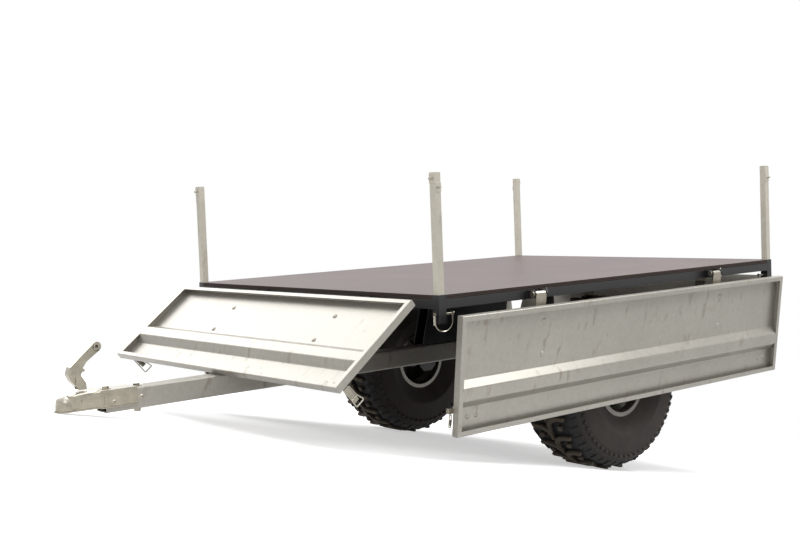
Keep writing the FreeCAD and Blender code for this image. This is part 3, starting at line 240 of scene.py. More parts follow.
def zinc_plated_steel(colours):
    """Electroplated fittings: brighter and smoother than the dipped sheet, a little streaky, with a
    painted highlight on the faces that look up.
    """
    material, tree, place = new_material("zinc_plated_steel")
    streak = add_node(tree, "ShaderNodeTexNoise", {
        "Vector": place["Object"], "Scale": 30.0, "Detail": 3.0})
    plating = add_node(tree, "ShaderNodeValToRGB", {"Fac": streak.outputs["Fac"]}, stops=(
        (0.3, colours.plate_dark), (0.7, colours.plate_light)))
    # Painted highlight: faces that look up get a lighter plating colour, as if lit from above, and the
    # sides keep the darker plating
    upright = add_node(tree, "ShaderNodeVectorMath", {
        0: place["Normal"], 1: tuple(UP)}, operation="DOT_PRODUCT")
    painted_top_light = add_node(tree, "ShaderNodeMapRange", {
        "Value": upright.outputs["Value"], "From Min": 0.1, "From Max": 0.8})
    colour = add_node(tree, "ShaderNodeMix", {
        "Factor": painted_top_light.outputs["Result"], "A": plating.outputs["Color"],
        "B": linear(colours.plate_painted_highlight)}, data_type="RGBA")
    rough = add_node(tree, "ShaderNodeMapRange", {
        "Value": streak.outputs["Fac"], "To Min": 0.2, "To Max": 0.3})
    surface(tree, colour.outputs["Result"], rough.outputs["Result"], streak.outputs["Fac"],
            0.03, 0.0004, {"Metallic": 0.85})
    return material


def silver_wheel_paint(colours):
    """Silver lacquer sprayed on pressed steel: bright, even, with a soft metallic grain."""
    material, tree, place = new_material("silver_wheel_paint")
    flake = add_node(tree, "ShaderNodeTexNoise", {
        "Vector": place["Object"], "Scale": 400.0, "Detail": 1.0})
    colour = add_node(tree, "ShaderNodeValToRGB", {"Fac": flake.outputs["Fac"]}, stops=(
        (0.3, colours.silver_dark), (0.7, colours.silver_light)))
    surface(tree, colour.outputs["Color"], 0.26, flake.outputs["Fac"], 0.05, 0.0003, {
        "Metallic": 0.5, "Coat Weight": 0.2, "Coat Roughness": 0.15})
    return material


def moulded_rubber(colours):
    """Tyre rubber from the mould: matt black with a brownish bloom and a fine grain, and painted shade
    over the tread.
    """
    material, tree, place = new_material("moulded_rubber")
    bloom = add_node(tree, "ShaderNodeTexNoise", {
        "Vector": place["Object"], "Scale": 14.0, "Detail": 5.0})
    clean = add_node(tree, "ShaderNodeValToRGB", {"Fac": bloom.outputs["Fac"]}, stops=(
        (0.3, colours.rubber_dark), (0.75, colours.rubber_bloom)))
    # Painted shade: the rubber is painted darker from 270 mm out, over the tread and between and up the
    # lugs, and dust lightens the tops of the lugs, both by the distance from the axle
    axle = TRAILER @ Vector(AXLE)
    centred = add_node(tree, "ShaderNodeMapping", {
        "Vector": place["Object"], "Location": (-axle.x, 0, -axle.z), "Scale": (1, 0, 1)})
    reach = add_node(tree, "ShaderNodeVectorMath", {0: centred.outputs["Vector"]}, operation="LENGTH")
    painted_groove_shade = add_node(tree, "ShaderNodeMapRange", {
        "Value": reach.outputs["Value"], "From Min": 0.27, "From Max": 0.3})
    with_painted_shade = add_node(tree, "ShaderNodeMix", {
        "Factor": painted_groove_shade.outputs["Result"], "A": clean.outputs["Color"],
        "B": linear(colours.rubber_painted_shade)}, data_type="RGBA")
    top = add_node(tree, "ShaderNodeMapRange", {
        "Value": reach.outputs["Value"], "From Min": 0.309, "From Max": 0.322})
    dusty = add_node(tree, "ShaderNodeMix", {
        "Factor": top.outputs["Result"], "A": with_painted_shade.outputs["Result"],
        "B": linear(colours.rubber_dust)}, data_type="RGBA")
    # Mould grain drawn at 3 mm
    grain = add_node(tree, "ShaderNodeTexNoise", {
        "Vector": place["Object"], "Scale": 330.0, "Detail": 2.0})
    rough = add_node(tree, "ShaderNodeMapRange", {
        "Value": bloom.outputs["Fac"], "To Min": 0.62, "To Max": 0.85})
    surface(tree, dusty.outputs["Result"], rough.outputs["Result"], grain.outputs["Fac"],
            0.3, 0.0006, {"IOR": 1.42})
    return material


FINISHES = {
    "plywood_film": film_faced_plywood,
    "black_paint": black_stove_enamel,
    "galvanised": galvanised_sheet,
    "galvanised_tube": hot_dipped_tube,
    "zinc_plated": zinc_plated_steel,
    "wheel_silver": silver_wheel_paint,
    "hub_paint": black_stove_enamel,
    "tyre_rubber": moulded_rubber,
}
materials = {}


# The axes of a drop side as a sheet is drawn: across it, up it, and then along its hinge
SHEET = Matrix(((0, 0, 1, 0), (1, 0, 0, 0), (0, 1, 0, 0), (0, 0, 0, 1)))


def millimetres(size):
    """A property's length in the millimetres that the pieces are drawn in."""
    return size / MM


def spot(x=0, y=0, z=0, axis="Z", angle=0):
    """A place, turned about one of its axes by degrees."""
    return Matrix.Translation((x, y, z)) @ Matrix.Rotation(math.radians(angle), 4, axis)


def flipped(x=1, y=1):
    """A mirror that keeps an axis at 1 and turns it round at -1."""
    return Matrix.Diagonal((x, y, 1, 1))


def on_circle(centre, radius, turns):
    """Points on a circle at the turns, in degrees."""
    return [(
        centre[0] + radius * math.cos(math.radians(turn)),
        centre[1] + radius * math.sin(math.radians(turn))) for turn in turns]


def mesh_data(name, mesh):
    """Turn a bmesh into mesh data and free it."""
    data = bpy.data.meshes.new(name)
    mesh.to_mesh(data)
    mesh.free()
    return data


def add_object(name, data):
    """A new object in the scene."""
    made = bpy.data.objects.new(name, data)
    bpy.context.scene.collection.objects.link(made)
    return made


def put(mesh, part, at):
    """Move a finished part to its place and add it to a mesh."""
    bmesh.ops.transform(part, matrix=at, verts=part.verts)
    if at.determinant() < 0:
        bmesh.ops.reverse_faces(part, faces=part.faces)
    data = mesh_data("part", part)
    mesh.from_mesh(data)
    bpy.data.meshes.remove(data)


def round_off(part, things, width, segments, affect="EDGES"):
    """Bevel edges or corners."""
    if width > 0:
        bmesh.ops.bevel(
            part, geom=list(things), offset=width, offset_type="OFFSET", affect=affect,
            segments=segments, profile=0.5, material=-1, clamp_overlap=True)


def add_block(mesh, at, size, edge, segments):
    """A block centred on its place."""
    part = bmesh.new()
    bmesh.ops.create_cube(part, size=1.0, matrix=Matrix.Diagonal((*size, 1)))
    round_off(part, part.edges, edge, segments)
    put(mesh, part, at)


def add_rod(mesh, at, radius, length, segments, edge, tip=None):
    """A round bar from its place along Z, with softened ends."""
    part = bmesh.new()
    bmesh.ops.create_cone(
        part, cap_ends=True, segments=segments, radius1=radius, radius2=radius if tip is None else tip,
        depth=length, matrix=Matrix.Translation((0, 0, length / 2)))
    rims = [e for e in part.edges if any(len(f.verts) == segments for f in e.link_faces)]
    round_off(part, rims, edge, 2)
    put(mesh, part, at)


def draw_edges(part, points, closed, bend, rings=4):
    """Draw a run of straight edges whose corners are bent."""
    corners = [part.verts.new(point) for point in points]
    for pair in zip(corners, corners[1:] + (corners[:1] if closed else [])):
        part.edges.new(pair)
    round_off(part, corners if closed else corners[1:-1], bend, rings, "VERTICES")


def add_plate(mesh, at, outline, thickness, edge=0.0, bend=0.0, rings=4):
    """A flat plate: its outline in the XY plane, its thickness up from there."""
    part = bmesh.new()
    draw_edges(part, [(x, y, 0) for x, y in outline], True, bend, rings)
    face = bmesh.ops.contextual_create(part, geom=part.edges[:])["faces"]
    pushed = bmesh.ops.extrude_face_region(part, geom=face)["geom"]
    top = [g for g in pushed if isinstance(g, bmesh.types.BMVert)]
    bmesh.ops.translate(part, verts=top, vec=(0, 0, thickness))
    bmesh.ops.recalc_face_normals(part, faces=part.faces)
    if edge:
        flat = [e for e in part.edges if abs(e.verts[0].co.z - e.verts[1].co.z) < 0.001]
        round_off(part, flat, edge, 2)
    put(mesh, part, at)


def add_strip(mesh, at, path, width, thickness, bend):
    """A bent sheet: the middle of its section in the XY plane, its width up from there."""
    part = bmesh.new()
    draw_edges(part, [(x, y, 0) for x, y in path], False, bend)
    made = bmesh.ops.extrude_edge_only(part, edges=part.edges[:])["geom"]
    moved = [g for g in made if isinstance(g, bmesh.types.BMVert)]
    bmesh.ops.translate(part, verts=moved, vec=(0, 0, width))
    bmesh.ops.recalc_face_normals(part, faces=part.faces)
    part.normal_update()
    for corner in part.verts:
        corner.co += corner.normal * thickness / 2
    bmesh.ops.solidify(part, geom=part.faces[:], thickness=thickness)
    bmesh.ops.recalc_face_normals(part, faces=part.faces)
    put(mesh, part, at)


def add_lathe(mesh, at, outline, steps=64, bend=0.0, rings=3, closed=False):
    """A turned form: its outline of radii and heights goes round the Z axis of its place."""
    part = bmesh.new()
    draw_edges(part, [(radius, 0, z) for radius, z in outline], closed, bend, rings)
    bmesh.ops.spin(
        part, geom=part.verts[:] + part.edges[:], cent=(0, 0, 0), axis=(0, 0, 1), angle=math.tau,
        steps=steps, use_merge=True)
    bmesh.ops.remove_doubles(part, verts=part.verts, dist=0.001)
    bmesh.ops.recalc_face_normals(part, faces=part.faces)
    put(mesh, part, at)


def add_wire(mesh, at, points, radius, closed=False, bend=6.0):
    """A bent wire: a round tube along straight runs whose corners are bent."""
    line = bmesh.new()
    draw_edges(line, points, closed, bend, 8)
    # The bends leave the corners out of order, so the line is walked from one end
    here = next((v for v in line.verts if len(v.link_edges) == 1), line.verts[:][0])
    walked, came = [here], None
    while True:
        onward = [e for e in here.link_edges if e is not came]
        if not onward or onward[0].other_vert(here) is walked[0]:
            break
        came = onward[0]
        here = came.other_vert(here)
        walked.append(here)
    data = bpy.data.curves.new("wire", "CURVE")
    data.dimensions = "3D"
    data.bevel_depth = radius
    data.bevel_resolution = 3
    data.use_fill_caps = True
    spline = data.splines.new("POLY")
    spline.points.add(len(walked) - 1)
    for point, corner in zip(spline.points, walked):
        point.co = (*corner.co, 1)
    spline.use_cyclic_u = closed
    line.free()
    holder = add_object("wire", data)
    tube = bpy.data.meshes.new_from_object(
        holder.evaluated_get(bpy.context.evaluated_depsgraph_get()))
    part = bmesh.new()
    part.from_mesh(tube)
    put(mesh, part, at)
    bpy.data.objects.remove(holder)
    bpy.data.meshes.remove(tube)
    bpy.data.curves.remove(data)


def add_hex_bolt(mesh, at, across, head):
    """A hexagon head on a washer."""
    washer = 1.6
    add_rod(mesh, at, across * 0.9, washer, 24, 0.4)
    # A hexagon's corners are 0.577 of its width across flats from its middle
    add_rod(mesh, at @ spot(z=washer), across * 0.577, head, 6, 0.6)


def add_coach_bolt(mesh, at, radius=9.0, height=4.6):
    """The low round head of a coach bolt."""
    add_lathe(mesh, at, (
        (0, height), (radius * 0.45, height * 0.92), (radius * 0.8, height * 0.6), (radius, 0)), 20)


def new_piece(name, mesh, at, body, finish, replaced=(), smooth=32.0):
    """Finish a piece: put its place into its mesh, give it its material, and let it ride."""
    bmesh.ops.transform(mesh, matrix=at, verts=mesh.verts)
    if not mesh.faces:
        raise RuntimeError(f"{name} has no faces")
    data = mesh_data(name, mesh)
    data.polygons.foreach_set("use_smooth", [True] * len(data.polygons))
    data.set_sharp_from_angle(angle=math.radians(smooth))
    data.materials.append(materials[finish])
    piece = add_object(name, data)
    # Flat faces keep their own shading up to their rounded edges
    level = piece.modifiers.new("flat faces", "WEIGHTED_NORMAL")
    level.keep_sharp = True
    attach(piece, body)
    if replaced:
        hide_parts(*replaced)


def soft_edged(node, width, sharper_than=38.0):
    """A copy of a node's mesh, merged, with its sharp edges rounded as rolled or sanded ones are."""
    part = bmesh.new()
    part.from_mesh(frame["nodes"][node].data)
    bmesh.ops.remove_doubles(part, verts=part.verts, dist=0.01 * MM)
    bmesh.ops.dissolve_limit(
        part, angle_limit=math.radians(0.5), use_dissolve_boundaries=False, verts=part.verts[:],
        edges=part.edges[:], delimit=set())
    sharp = [
        e for e in part.edges if e.is_manifold and e.calc_face_angle(0) > math.radians(sharper_than)]
    round_off(part, sharp, width * MM, 2)
    return part


def colour_property(name, description, default):
    return bpy.props.StringProperty(name=name, description=description, default=default)


def length_property(name, description, default, least=0.0):
    return bpy.props.FloatProperty(
        name=name, description=description, default=default, min=least, unit="LENGTH")


def power_property(name, description, default):
    return bpy.props.FloatProperty(
        name=name, description=description, default=default, unit="POWER")


def share_property(name, description, default):
    return bpy.props.FloatProperty(name=name, description=description, default=default, min=0.0)


class TrailerColours(bpy.types.PropertyGroup):
    film_dark: colour_property("Film, dark", "Darker clouds of the deck's film", "#584c4a")
    film_light: colour_property("Film, light", "Lighter clouds of the deck's film", "#6a5d5b")
    ply_dark: colour_property("Ply, dark", "Glue lines of the plywood edge", "#1f1815")
    ply_light: colour_property("Ply, light", "Wood of the plywood edge", "#3d302a")
    enamel_black: colour_property("Enamel", "Black paint of the frame", "#0e0e10")
    enamel_dust: colour_property("Enamel, dusty", "Black paint under dust", "#1a1a1d")
    zinc_dark: colour_property("Zinc, dark", "Darker crystals of the zinc on the sheet", "#a09c93")
    zinc_light: colour_property("Zinc, light", "Lighter crystals of the zinc on the sheet", "#b1ada4")
    zinc_drip: colour_property("Zinc, drips", "Drip marks of the zinc on the sheet", "#857b6c")
    tube_dark: colour_property("Posts, dark", "Darker crystals of the zinc on the posts", "#bab5a7")
    tube_light: colour_property("Posts, light", "Lighter crystals of the zinc on the posts", "#cbc6b8")
    tube_drip: colour_property("Posts, drips", "Drip marks of the zinc on the posts", "#a69f8e")
    plate_dark: colour_property("Plating, dark", "Streaks in the zinc plating", "#8b8678")
    plate_light: colour_property("Plating, light", "Zinc plating on upright faces", "#a09a8c")
    # Painted highlight: the lighter plating colour painted on the faces that look up, as if lit from
    # above
    plate_painted_highlight: colour_property("Plating, top", "Zinc plating on the faces that look up", "#d6d1c4")
    silver_dark: colour_property("Silver, dark", "Darker grain of the wheels' silver paint", "#64615b")
    silver_light: colour_property("Silver, light", "Lighter grain of the wheels' silver paint", "#7a766e")
    rubber_dark: colour_property("Rubber", "Tyre rubber", "#1d1a18")
    rubber_bloom: colour_property("Rubber bloom", "Bloom on the tyre rubber", "#3b332d")
    # Painted shade: the darker colour painted over the tread between the lugs
    rubber_painted_shade: colour_property("Rubber grooves", "Shaded rubber between the lugs", "#141313")
    rubber_dust: colour_property("Rubber dust", "Dust on the tops of the lugs", "#665c50")
    floor: colour_property("Floor", "Studio floor as it is seen", "#f4f4f4")
    floor_bounce: colour_property("Floor, bounce", "Studio floor as it lights the trailer", "#a8a8a8")


class TrailerSizes(bpy.types.PropertyGroup):
    tube_edge: length_property("Tube edge", "Rounding of the edges of tubes and plates", 0.0012)
    deck_edge: length_property("Deck edge", "Rounding of the deck board's edges", 0.0008)
    sheet: length_property("Sheet", "Thickness of the drop-side sheet", 0.002, 0.0005)
    sheet_bend: length_property("Sheet bend", "Rounding of the folds in the sheet", 0.003)
    lug_edge: length_property("Lug edge", "Rounding of the tread lugs' edges", 0.0022)


class TrailerStudio(bpy.types.PropertyGroup):
    lens: bpy.props.FloatProperty(
        name="Lens", description="Focal length that the photograph's perspective gives",
        default=53.94, min=20.0, subtype="DISTANCE_CAMERA")
    camera_place: bpy.props.FloatVectorProperty(
        name="Camera place", description="Camera in the trailer frame, in millimetres", size=3,
        default=(2535.74, 3541.78, 308.57))
    camera_turn: bpy.props.FloatVectorProperty(
        name="Camera turn", description="Heading, tilt down and roll in the trailer frame", size=3,
        default=(4.010, 0.056, -0.038), unit="ROTATION")
    softbox_power: power_property("Softbox", "Power of the large lamp overhead", 110.0)
    rear_power: power_property("Rear softbox", "Power of the small lamp over the rear left", 46.0)
    far_power: power_property("Far softbox", "Power of the lamp beyond the right side", 150.0)
    fill_power: power_property("Fill", "Power of the lamp beside the camera", 30.0)
    air_light: share_property("Air", "Even light from all round", 0.5)
    paper_glow: share_property("Paper glow", "Lift that makes the floor white under its shadow", 0.5)


# Each lamp's name, the property of its power, its side and its place in metres
LAMPS = (
    ("softbox", "softbox_power", 5.0, (0.3, 0.4, 4.6)),
    ("rear_softbox", "rear_power", 1.2, (-1.4, 2.0, 3.1)),
    ("far_softbox", "far_power", 3.6, (1.2, -4.6, 3.6)),
    ("fill", "fill_power", 2.5, (4.0, 3.2, 2.2)),
)
LIT_POINT = Vector((0, 0, 0.4))
FADE_START, FADE_END = 2.4, 4.4  # metres from the trailer
WHITE = (1, 1, 1, 1)


def seen_directly(tree):
    """1 for the rays that show the studio to the camera, also in metal and through glass."""
    rays = add_node(tree, "ShaderNodeLightPath").outputs
    mirrored = add_node(tree, "ShaderNodeMath", {
        0: rays["Is Glossy Ray"], 1: rays["Is Transmission Ray"]}, operation="MAXIMUM")
    seen = add_node(tree, "ShaderNodeMath", {
        0: rays["Is Camera Ray"], 1: mirrored.outputs["Value"]}, operation="MAXIMUM")
    return seen.outputs["Value"]


def studio_paper(colours, glow):
    """Pale paper that the camera and the metal see as white, with the shadow kept."""
    material, tree, place = new_material("studio_paper")
    paper = add_node(tree, "ShaderNodeBsdfDiffuse", {"Color": linear(colours.floor)})
    lift = add_node(tree, "ShaderNodeEmission", {"Color": WHITE, "Strength": glow})
    lit = add_node(tree, "ShaderNodeAddShader", {0: paper.outputs["BSDF"], 1: lift.outputs["Emission"]})
    # Further away the paper turns into the white of the air, so no horizon shows
    away = add_node(tree, "ShaderNodeVectorMath", {0: place["Object"]}, operation="LENGTH")
    fade = add_node(tree, "ShaderNodeMapRange", {
        "Value": away.outputs["Value"], "From Min": FADE_START, "From Max": FADE_END},
        interpolation_type="SMOOTHSTEP")
    white = add_node(tree, "ShaderNodeEmission", {"Color": WHITE, "Strength": 1.0})
    seen = add_node(tree, "ShaderNodeMixShader", {
        "Fac": fade.outputs["Result"], 1: lit.outputs["Shader"], 2: white.outputs["Emission"]})
    dull = add_node(tree, "ShaderNodeBsdfDiffuse", {"Color": linear(colours.floor_bounce)})
    sheet = add_node(tree, "ShaderNodeMixShader", {
        "Fac": seen_directly(tree), 1: dull.outputs["BSDF"], 2: seen.outputs["Shader"]})
    add_node(tree, "ShaderNodeOutputMaterial", {"Surface": sheet.outputs["Shader"]})
    return material


def studio_air(strength):
    """A world that lights evenly and that the camera sees as white."""
    world = bpy.data.worlds.new("studio_air")
    world.use_nodes = True
    tree = world.node_tree
    tree.nodes.clear()
    air = add_node(tree, "ShaderNodeBackground", {"Color": WHITE, "Strength": strength})
    white = add_node(tree, "ShaderNodeBackground", {"Color": WHITE, "Strength": 1.0})
    both = add_node(tree, "ShaderNodeMixShader", {
        "Fac": seen_directly(tree), 1: air.outputs["Background"], 2: white.outputs["Background"]})
    add_node(tree, "ShaderNodeOutputWorld", {"Surface": both.outputs["Shader"]})
    return world


def camera_turn(heading, down, roll):
    """The camera's axes in the trailer frame."""
    ahead = Vector((
        math.cos(heading) * math.cos(down), math.sin(heading) * math.cos(down), -math.sin(down)))
    level = Vector((math.sin(heading), -math.cos(heading), 0))
    over = level.cross(ahead)
    right = level * math.cos(roll) + over * math.sin(roll)
    up = over * math.cos(roll) - level * math.sin(roll)
    return Matrix((right, up, -ahead)).transposed().to_4x4()


class TRAILER_OT_stage(bpy.types.Operator):
    """Floor, soft light and the camera at the photograph's angle"""
    bl_idname = "trailer.stage"
    bl_label = "Studio"

    def execute(self, context):
        studio = context.scene.trailer_studio
        mesh = bmesh.new()
        bmesh.ops.create_grid(mesh, x_segments=1, y_segments=1, size=30)
        floor = add_object("floor", mesh_data("floor", mesh))
        floor.data.materials.append(studio_paper(context.scene.trailer_colours, studio.paper_glow))
        context.scene.world = studio_air(studio.air_light)
        for name, power, size, place in LAMPS:
            data = bpy.data.lights.new(name, "AREA")
            data.energy = getattr(studio, power)
            data.size = size
            lamp = add_object(name, data)
            lamp.location = place
            lamp.rotation_mode = "QUATERNION"
            lamp.rotation_quaternion = (LIT_POINT - Vector(place)).to_track_quat("-Z", "Y")
        data = bpy.data.cameras.new("camera")
        data.sensor_width = 36
        data.lens = studio.lens
        data.clip_end = 100
        camera = add_object("camera", data)
        place = Matrix.Translation(TRAILER @ Vector(studio.camera_place))
        tipped = trailer_frame().to_3x3().to_4x4()
        camera.matrix_world = place @ tipped @ camera_turn(*studio.camera_turn)
        context.scene.camera = camera
        context.scene.view_settings.view_transform = "Standard"
        return {"FINISHED"}


class TRAILER_OT_finishes(bpy.types.Operator):
    """Give every part of the frame the finish of its material"""
    bl_idname = "trailer.finishes"
    bl_label = "Finishes"

    def execute(self, context):
        for slot, maker in FINISHES.items():
            materials[slot] = maker(context.scene.trailer_colours)
            for name in NODE_SLOTS[slot]:
                slots = frame["nodes"][name].data.materials
                slots.clear()
                slots.append(materials[slot])
        return {"FINISHED"}


# Hinge axes: their height, the side ones' distance from the middle, the end ones' place along it
HINGE_Z, SIDE_HINGE_Y, FRONT_HINGE_X, REAR_HINGE_X = -28, 757, 27, -1902
# Hinges along a side and across an end
SIDE_HINGES, END_HINGES = (-434, -1440), (358, -264)

# Hinge axis in the trailer frame, its heading, how far the side is open, its length, the places of
# its two straps, strap end, height of its latches and of the strap bolts
Side = namedtuple("Side", "base heading opened length straps strap_end latch bolts")
SIDES = {
    "left": Side((DECK_MIDDLE, SIDE_HINGE_Y, HINGE_Z), 180, 186.9, 1809,
                 tuple(DECK_MIDDLE - x for x in SIDE_HINGES), 222, 370, (88, 203)),
    "right": Side((DECK_MIDDLE, -SIDE_HINGE_Y, HINGE_Z), 0, 186.9, 1809,
                  tuple(x - DECK_MIDDLE for x in SIDE_HINGES), 222, 370, (88, 203)),
    "front": Side((FRONT_HINGE_X, 0, HINGE_Z), 90, 127.447, 1394,
                  END_HINGES, 253, 398, (111.5, 226)),
    "rear": Side((REAR_HINGE_X, 0, HINGE_Z), -90, 200.7202, 1394,
                 tuple(-y for y in END_HINGES), 253, 398, (111.5, 226)),
}
BACK, FACE = 27, 52          # back and load side of a drop side, from its hinge axis
FOOT, TOP, LIP = 33, 428, 18  # its hinge edge and free edge, and its return lips
STRAP_WIDTH, LATCH_BOLTS = 50, (63, 100)


def latch_inset(name, sign):
    """The photographed trailer has one latch of its front side 50 mm further in."""
    return 50 if (name, sign) == ("front", -1) else 0


def side_place(name):
    """A drop side's hinge frame at rest: X along the hinge, Y to the load side, Z up when shut."""
    side = SIDES[name]
    return TRAILER @ spot(*side.base, "Z", side.heading) @ spot(axis="X", angle=side.opened)


def wheel_place(side):
    """A wheel's frame at rest with its axle along Z, outboard up."""
    face = spot(AXLE[0], side * AXLE[1], AXLE[2], "Z", 0 if side > 0 else 180)
    # The last angle puts a lug's corner on the floor
    roll = side * (180 - math.degrees(PITCH)) + 4.502
    return TRAILER @ face @ spot(axis="Y", angle=roll) @ spot(axis="X", angle=-90)


class TRAILER_OT_frame(bpy.types.Operator):
    """Deck, welded frame, drawbar and posts with the soft edges of rolled steel and sanded plywood"""
    bl_idname = "trailer.frame"
    bl_label = "Deck and frame"

    def execute(self, context):
        sizes = context.scene.trailer_sizes
        tube = millimetres(sizes.tube_edge)
        plans = [("deck_board", "plywood_film", millimetres(sizes.deck_edge))]
        plans += [(node, "black_paint", tube) for node in NODE_SLOTS["black_paint"]]
        plans += [("drawbar", "galvanised", tube)]
        plans += [(node, "galvanised_tube", tube) for node in NODE_SLOTS["galvanised_tube"]]
        for node, finish, width in plans:
            new_piece(
                node + "_soft", soft_edged(node, width), Matrix(), "chassis", finish, (node,), 40.0)
        return {"FINISHED"}


class TRAILER_OT_drop_sides(bpy.types.Operator):
    """The four pressed and folded drop sides with the coach bolts of their straps and latches"""
    bl_idname = "trailer.drop_sides"
    bl_label = "Drop sides"

    def execute(self, context):
        sizes = context.scene.trailer_sizes
        sheet = millimetres(sizes.sheet)
        bend = millimetres(sizes.sheet_bend)
        half = sheet / 2
        face, back = FACE - half, BACK + half
        # Lip, hinge edge, skin, long rib, skin, free edge, lip
        section = (
            (face, FOOT + LIP), (face, FOOT + half), (back, FOOT + half), (back, 246), (face, 272),
            (face, 312), (back, 338), (back, TOP - half), (face, TOP - half), (face, TOP - LIP))
        end_plate = ((BACK, FOOT), (FACE, FOOT), (FACE, TOP), (BACK, TOP))
        for name, side in SIDES.items():
            mesh = bmesh.new()
            end = side.length / 2
            add_strip(
                mesh, spot(x=sheet - end) @ SHEET, section, side.length - 2 * sheet, sheet, bend)
            heads = [(x, u) for x in side.straps for u in side.bolts]
            for sign in (-1, 1):
                place = spot(x=end - sheet if sign > 0 else -end) @ SHEET
                add_plate(mesh, place, end_plate, sheet, 0.5, bend)
                lip = [(sign * (end - LIP), face), (sign * (end - sheet), face)]
                add_strip(mesh, spot(z=FOOT + LIP), lip, TOP - FOOT - 2 * LIP, sheet, 0)
                outer = end - latch_inset(name, sign)
                heads += [(sign * (outer - inset), side.latch) for inset in LATCH_BOLTS]
            for x, u in heads:
                add_coach_bolt(mesh, spot(x, back + half, u, "X", -90))
            new_piece(name + "_drop_side", mesh, side_place(name), "panel_" + name, "galvanised",
                      (name + "_panel",))
        return {"FINISHED"}


class TRAILER_OT_hinges(bpy.types.Operator):
    """Straps with rolled eyes, and headed pins held by split pins"""
    bl_idname = "trailer.hinges"
    bl_label = "Hinges"

    def execute(self, context):
        rolled_eye = (
            (6.1, 0.6), (6.6, 0), (9.4, 0), (10, 0.6), (10, 49.4), (9.4, 50), (6.6, 50), (6.1, 49.4))
        for name, side in SIDES.items():
            mesh = bmesh.new()
            path = ((8.0, -1), (8.0, 42), (24.4, 74), (24.4, side.strap_end))
            for x in side.straps:
                at = spot(x=x - STRAP_WIDTH / 2)
                add_strip(mesh, at @ SHEET, path, STRAP_WIDTH, 4.6, 12)
                add_lathe(mesh, at @ spot(axis="Y", angle=90), rolled_eye, 32, closed=True)
                for u in side.bolts:
                    add_hex_bolt(mesh, spot(x, BACK - 5, u, "X", 90), 13.0, 5.0)
            new_piece(name + "_hinge_straps", mesh, side_place(name), "panel_" + name,
                      "zinc_plated", (name + "_straps",))
        mesh = bmesh.new()
        places = [
            spot(x, y, HINGE_Z, "Y", 90) for x in SIDE_HINGES for y in (SIDE_HINGE_Y, -SIDE_HINGE_Y)]
        places += [
            spot(x, y, HINGE_Z, "X", 90) for x in (FRONT_HINGE_X, REAR_HINGE_X) for y in END_HINGES]
        # One leg of the split pin, from its spread tip, and the eye between its two legs
        leg = ((12, 4.5, 0), (7.5, 0.8, 0), (-10.5, 1.2, 0))
        eye = ((-14.5, 3.2, 0), (-18.0, 0, 0), (-14.5, -3.2, 0))
        split_pin = (*leg, *eye, *((x, -y, z) for x, y, z in reversed(leg)))
        for place in places:
            add_rod(mesh, place @ spot(z=-36), 6, 69, 24, 0.8)
            add_rod(mesh, place @ spot(z=32), 10, 4, 28, 1.0)
            add_rod(mesh, place @ spot(z=-33.2), 9.5, 1.2, 24, 0.3)
            add_wire(mesh, place @ spot(z=-34.6), split_pin, 0.9, bend=1.6)
        new_piece("headed_hinge_pins", mesh, TRAILER, "chassis", "zinc_plated", ("hinge_pins",))
        return {"FINISHED"}


def add_hanging_loop(mesh, at, swing, drop):
    """The front side's wire loop and its bent handle, hanging free from the drop side's back."""
    loop = (
        (-4, -12, 7), (swing * 0.3, -12, 44), (swing, -18, drop), (swing, 18, drop),
        (swing * 0.3, 12, 44), (-4, 12, 7))
    add_wire(mesh, at, loop, 2.1, True, 5.0)
    add_wire(mesh, at, ((swing * 0.35, -13, 46), (swing * 0.35, 13, 46)), 1.7)
    handle = ((-5, 6), (swing * 0.2 - 2, 30), (swing * 0.6 - 3, 58))
    add_strip(mesh, at @ spot(y=9, axis="X", angle=90), handle, 18, 1.8, 4)


def add_folded_loop(mesh, at):
    """A wire loop folded flat, its catch and the tongue under it."""
    catch = ((-6, -35), (21, -35), (21, -17), (-6, -17))
    add_plate(mesh, at, catch, 11, 1.2, 5)
    # Clear of the post's stub, which is 13.5 mm beyond the sheet's end when shut
    loop = ((1, -12, 7), (9.6, -12, 7), (9.6, 30, 7), (1, 30, 7))
    add_wire(mesh, at, loop, 1.8, True, 4.0)
    tongue = ((-2, 4), (7.5, 4), (6, 26), (0, 26))
    add_plate(mesh, at @ spot(z=5), tongue, 3, 0.6, 3)


class TRAILER_OT_latches(bpy.types.Operator):
    """Toggle latches: a base plate, a pressed lever and a wire loop at each free corner"""
    bl_idname = "trailer.latches"
    bl_label = "Latches"

    def execute(self, context):
        base = ((-112, -13), (-8, -13), (-8, 13), (-112, 13))
        ear = ((-44, 0), (-22, 0), (-25, 6), (-31, 7.4), (-38, 5))
        lever = ((-29, 3.9), (-36, 6.6), (-70, 6.6), (-84, 4.6))
        arm = ((-30, -11), (-5, -11), (-5, 11), (-30, 11))
        for name, side in SIDES.items():
            mesh = bmesh.new()
            for sign in (-1, 1):
                end = side.length / 2 - latch_inset(name, sign)
                at = spot(sign * end, BACK, side.latch) @ flipped(x=sign) @ spot(axis="X", angle=90)
                add_plate(mesh, at, base, 3, 0.6, 5)
                for inset in LATCH_BOLTS:
                    add_hex_bolt(mesh, at @ spot(-inset, 0, 3), 10.0, 3.5)
                for y in (-7.6, 9.6):
                    add_plate(mesh, at @ spot(0, y, 2.6, "X", 90), ear, 2, 0.4, 1.5)
                add_rod(mesh, at @ spot(-31, 11, 6.4, "X", 90), 2, 22, 16, 0.5)
                add_strip(mesh, at @ spot(y=7.4, axis="X", angle=90), lever, 14.8, 1.6, 5)
                add_plate(mesh, at, arm, 5, 0.8, 4)
                if name != "front":
                    add_folded_loop(mesh, at)
                elif sign > 0:
                    add_hanging_loop(mesh, at, 17, 66)
                else:
                    add_hanging_loop(mesh, at, -37, 76)
            new_piece(name + "_toggle_latches", mesh, side_place(name), "panel_" + name,
                      "zinc_plated", (name + "_latches",))
        return {"FINISHED"}


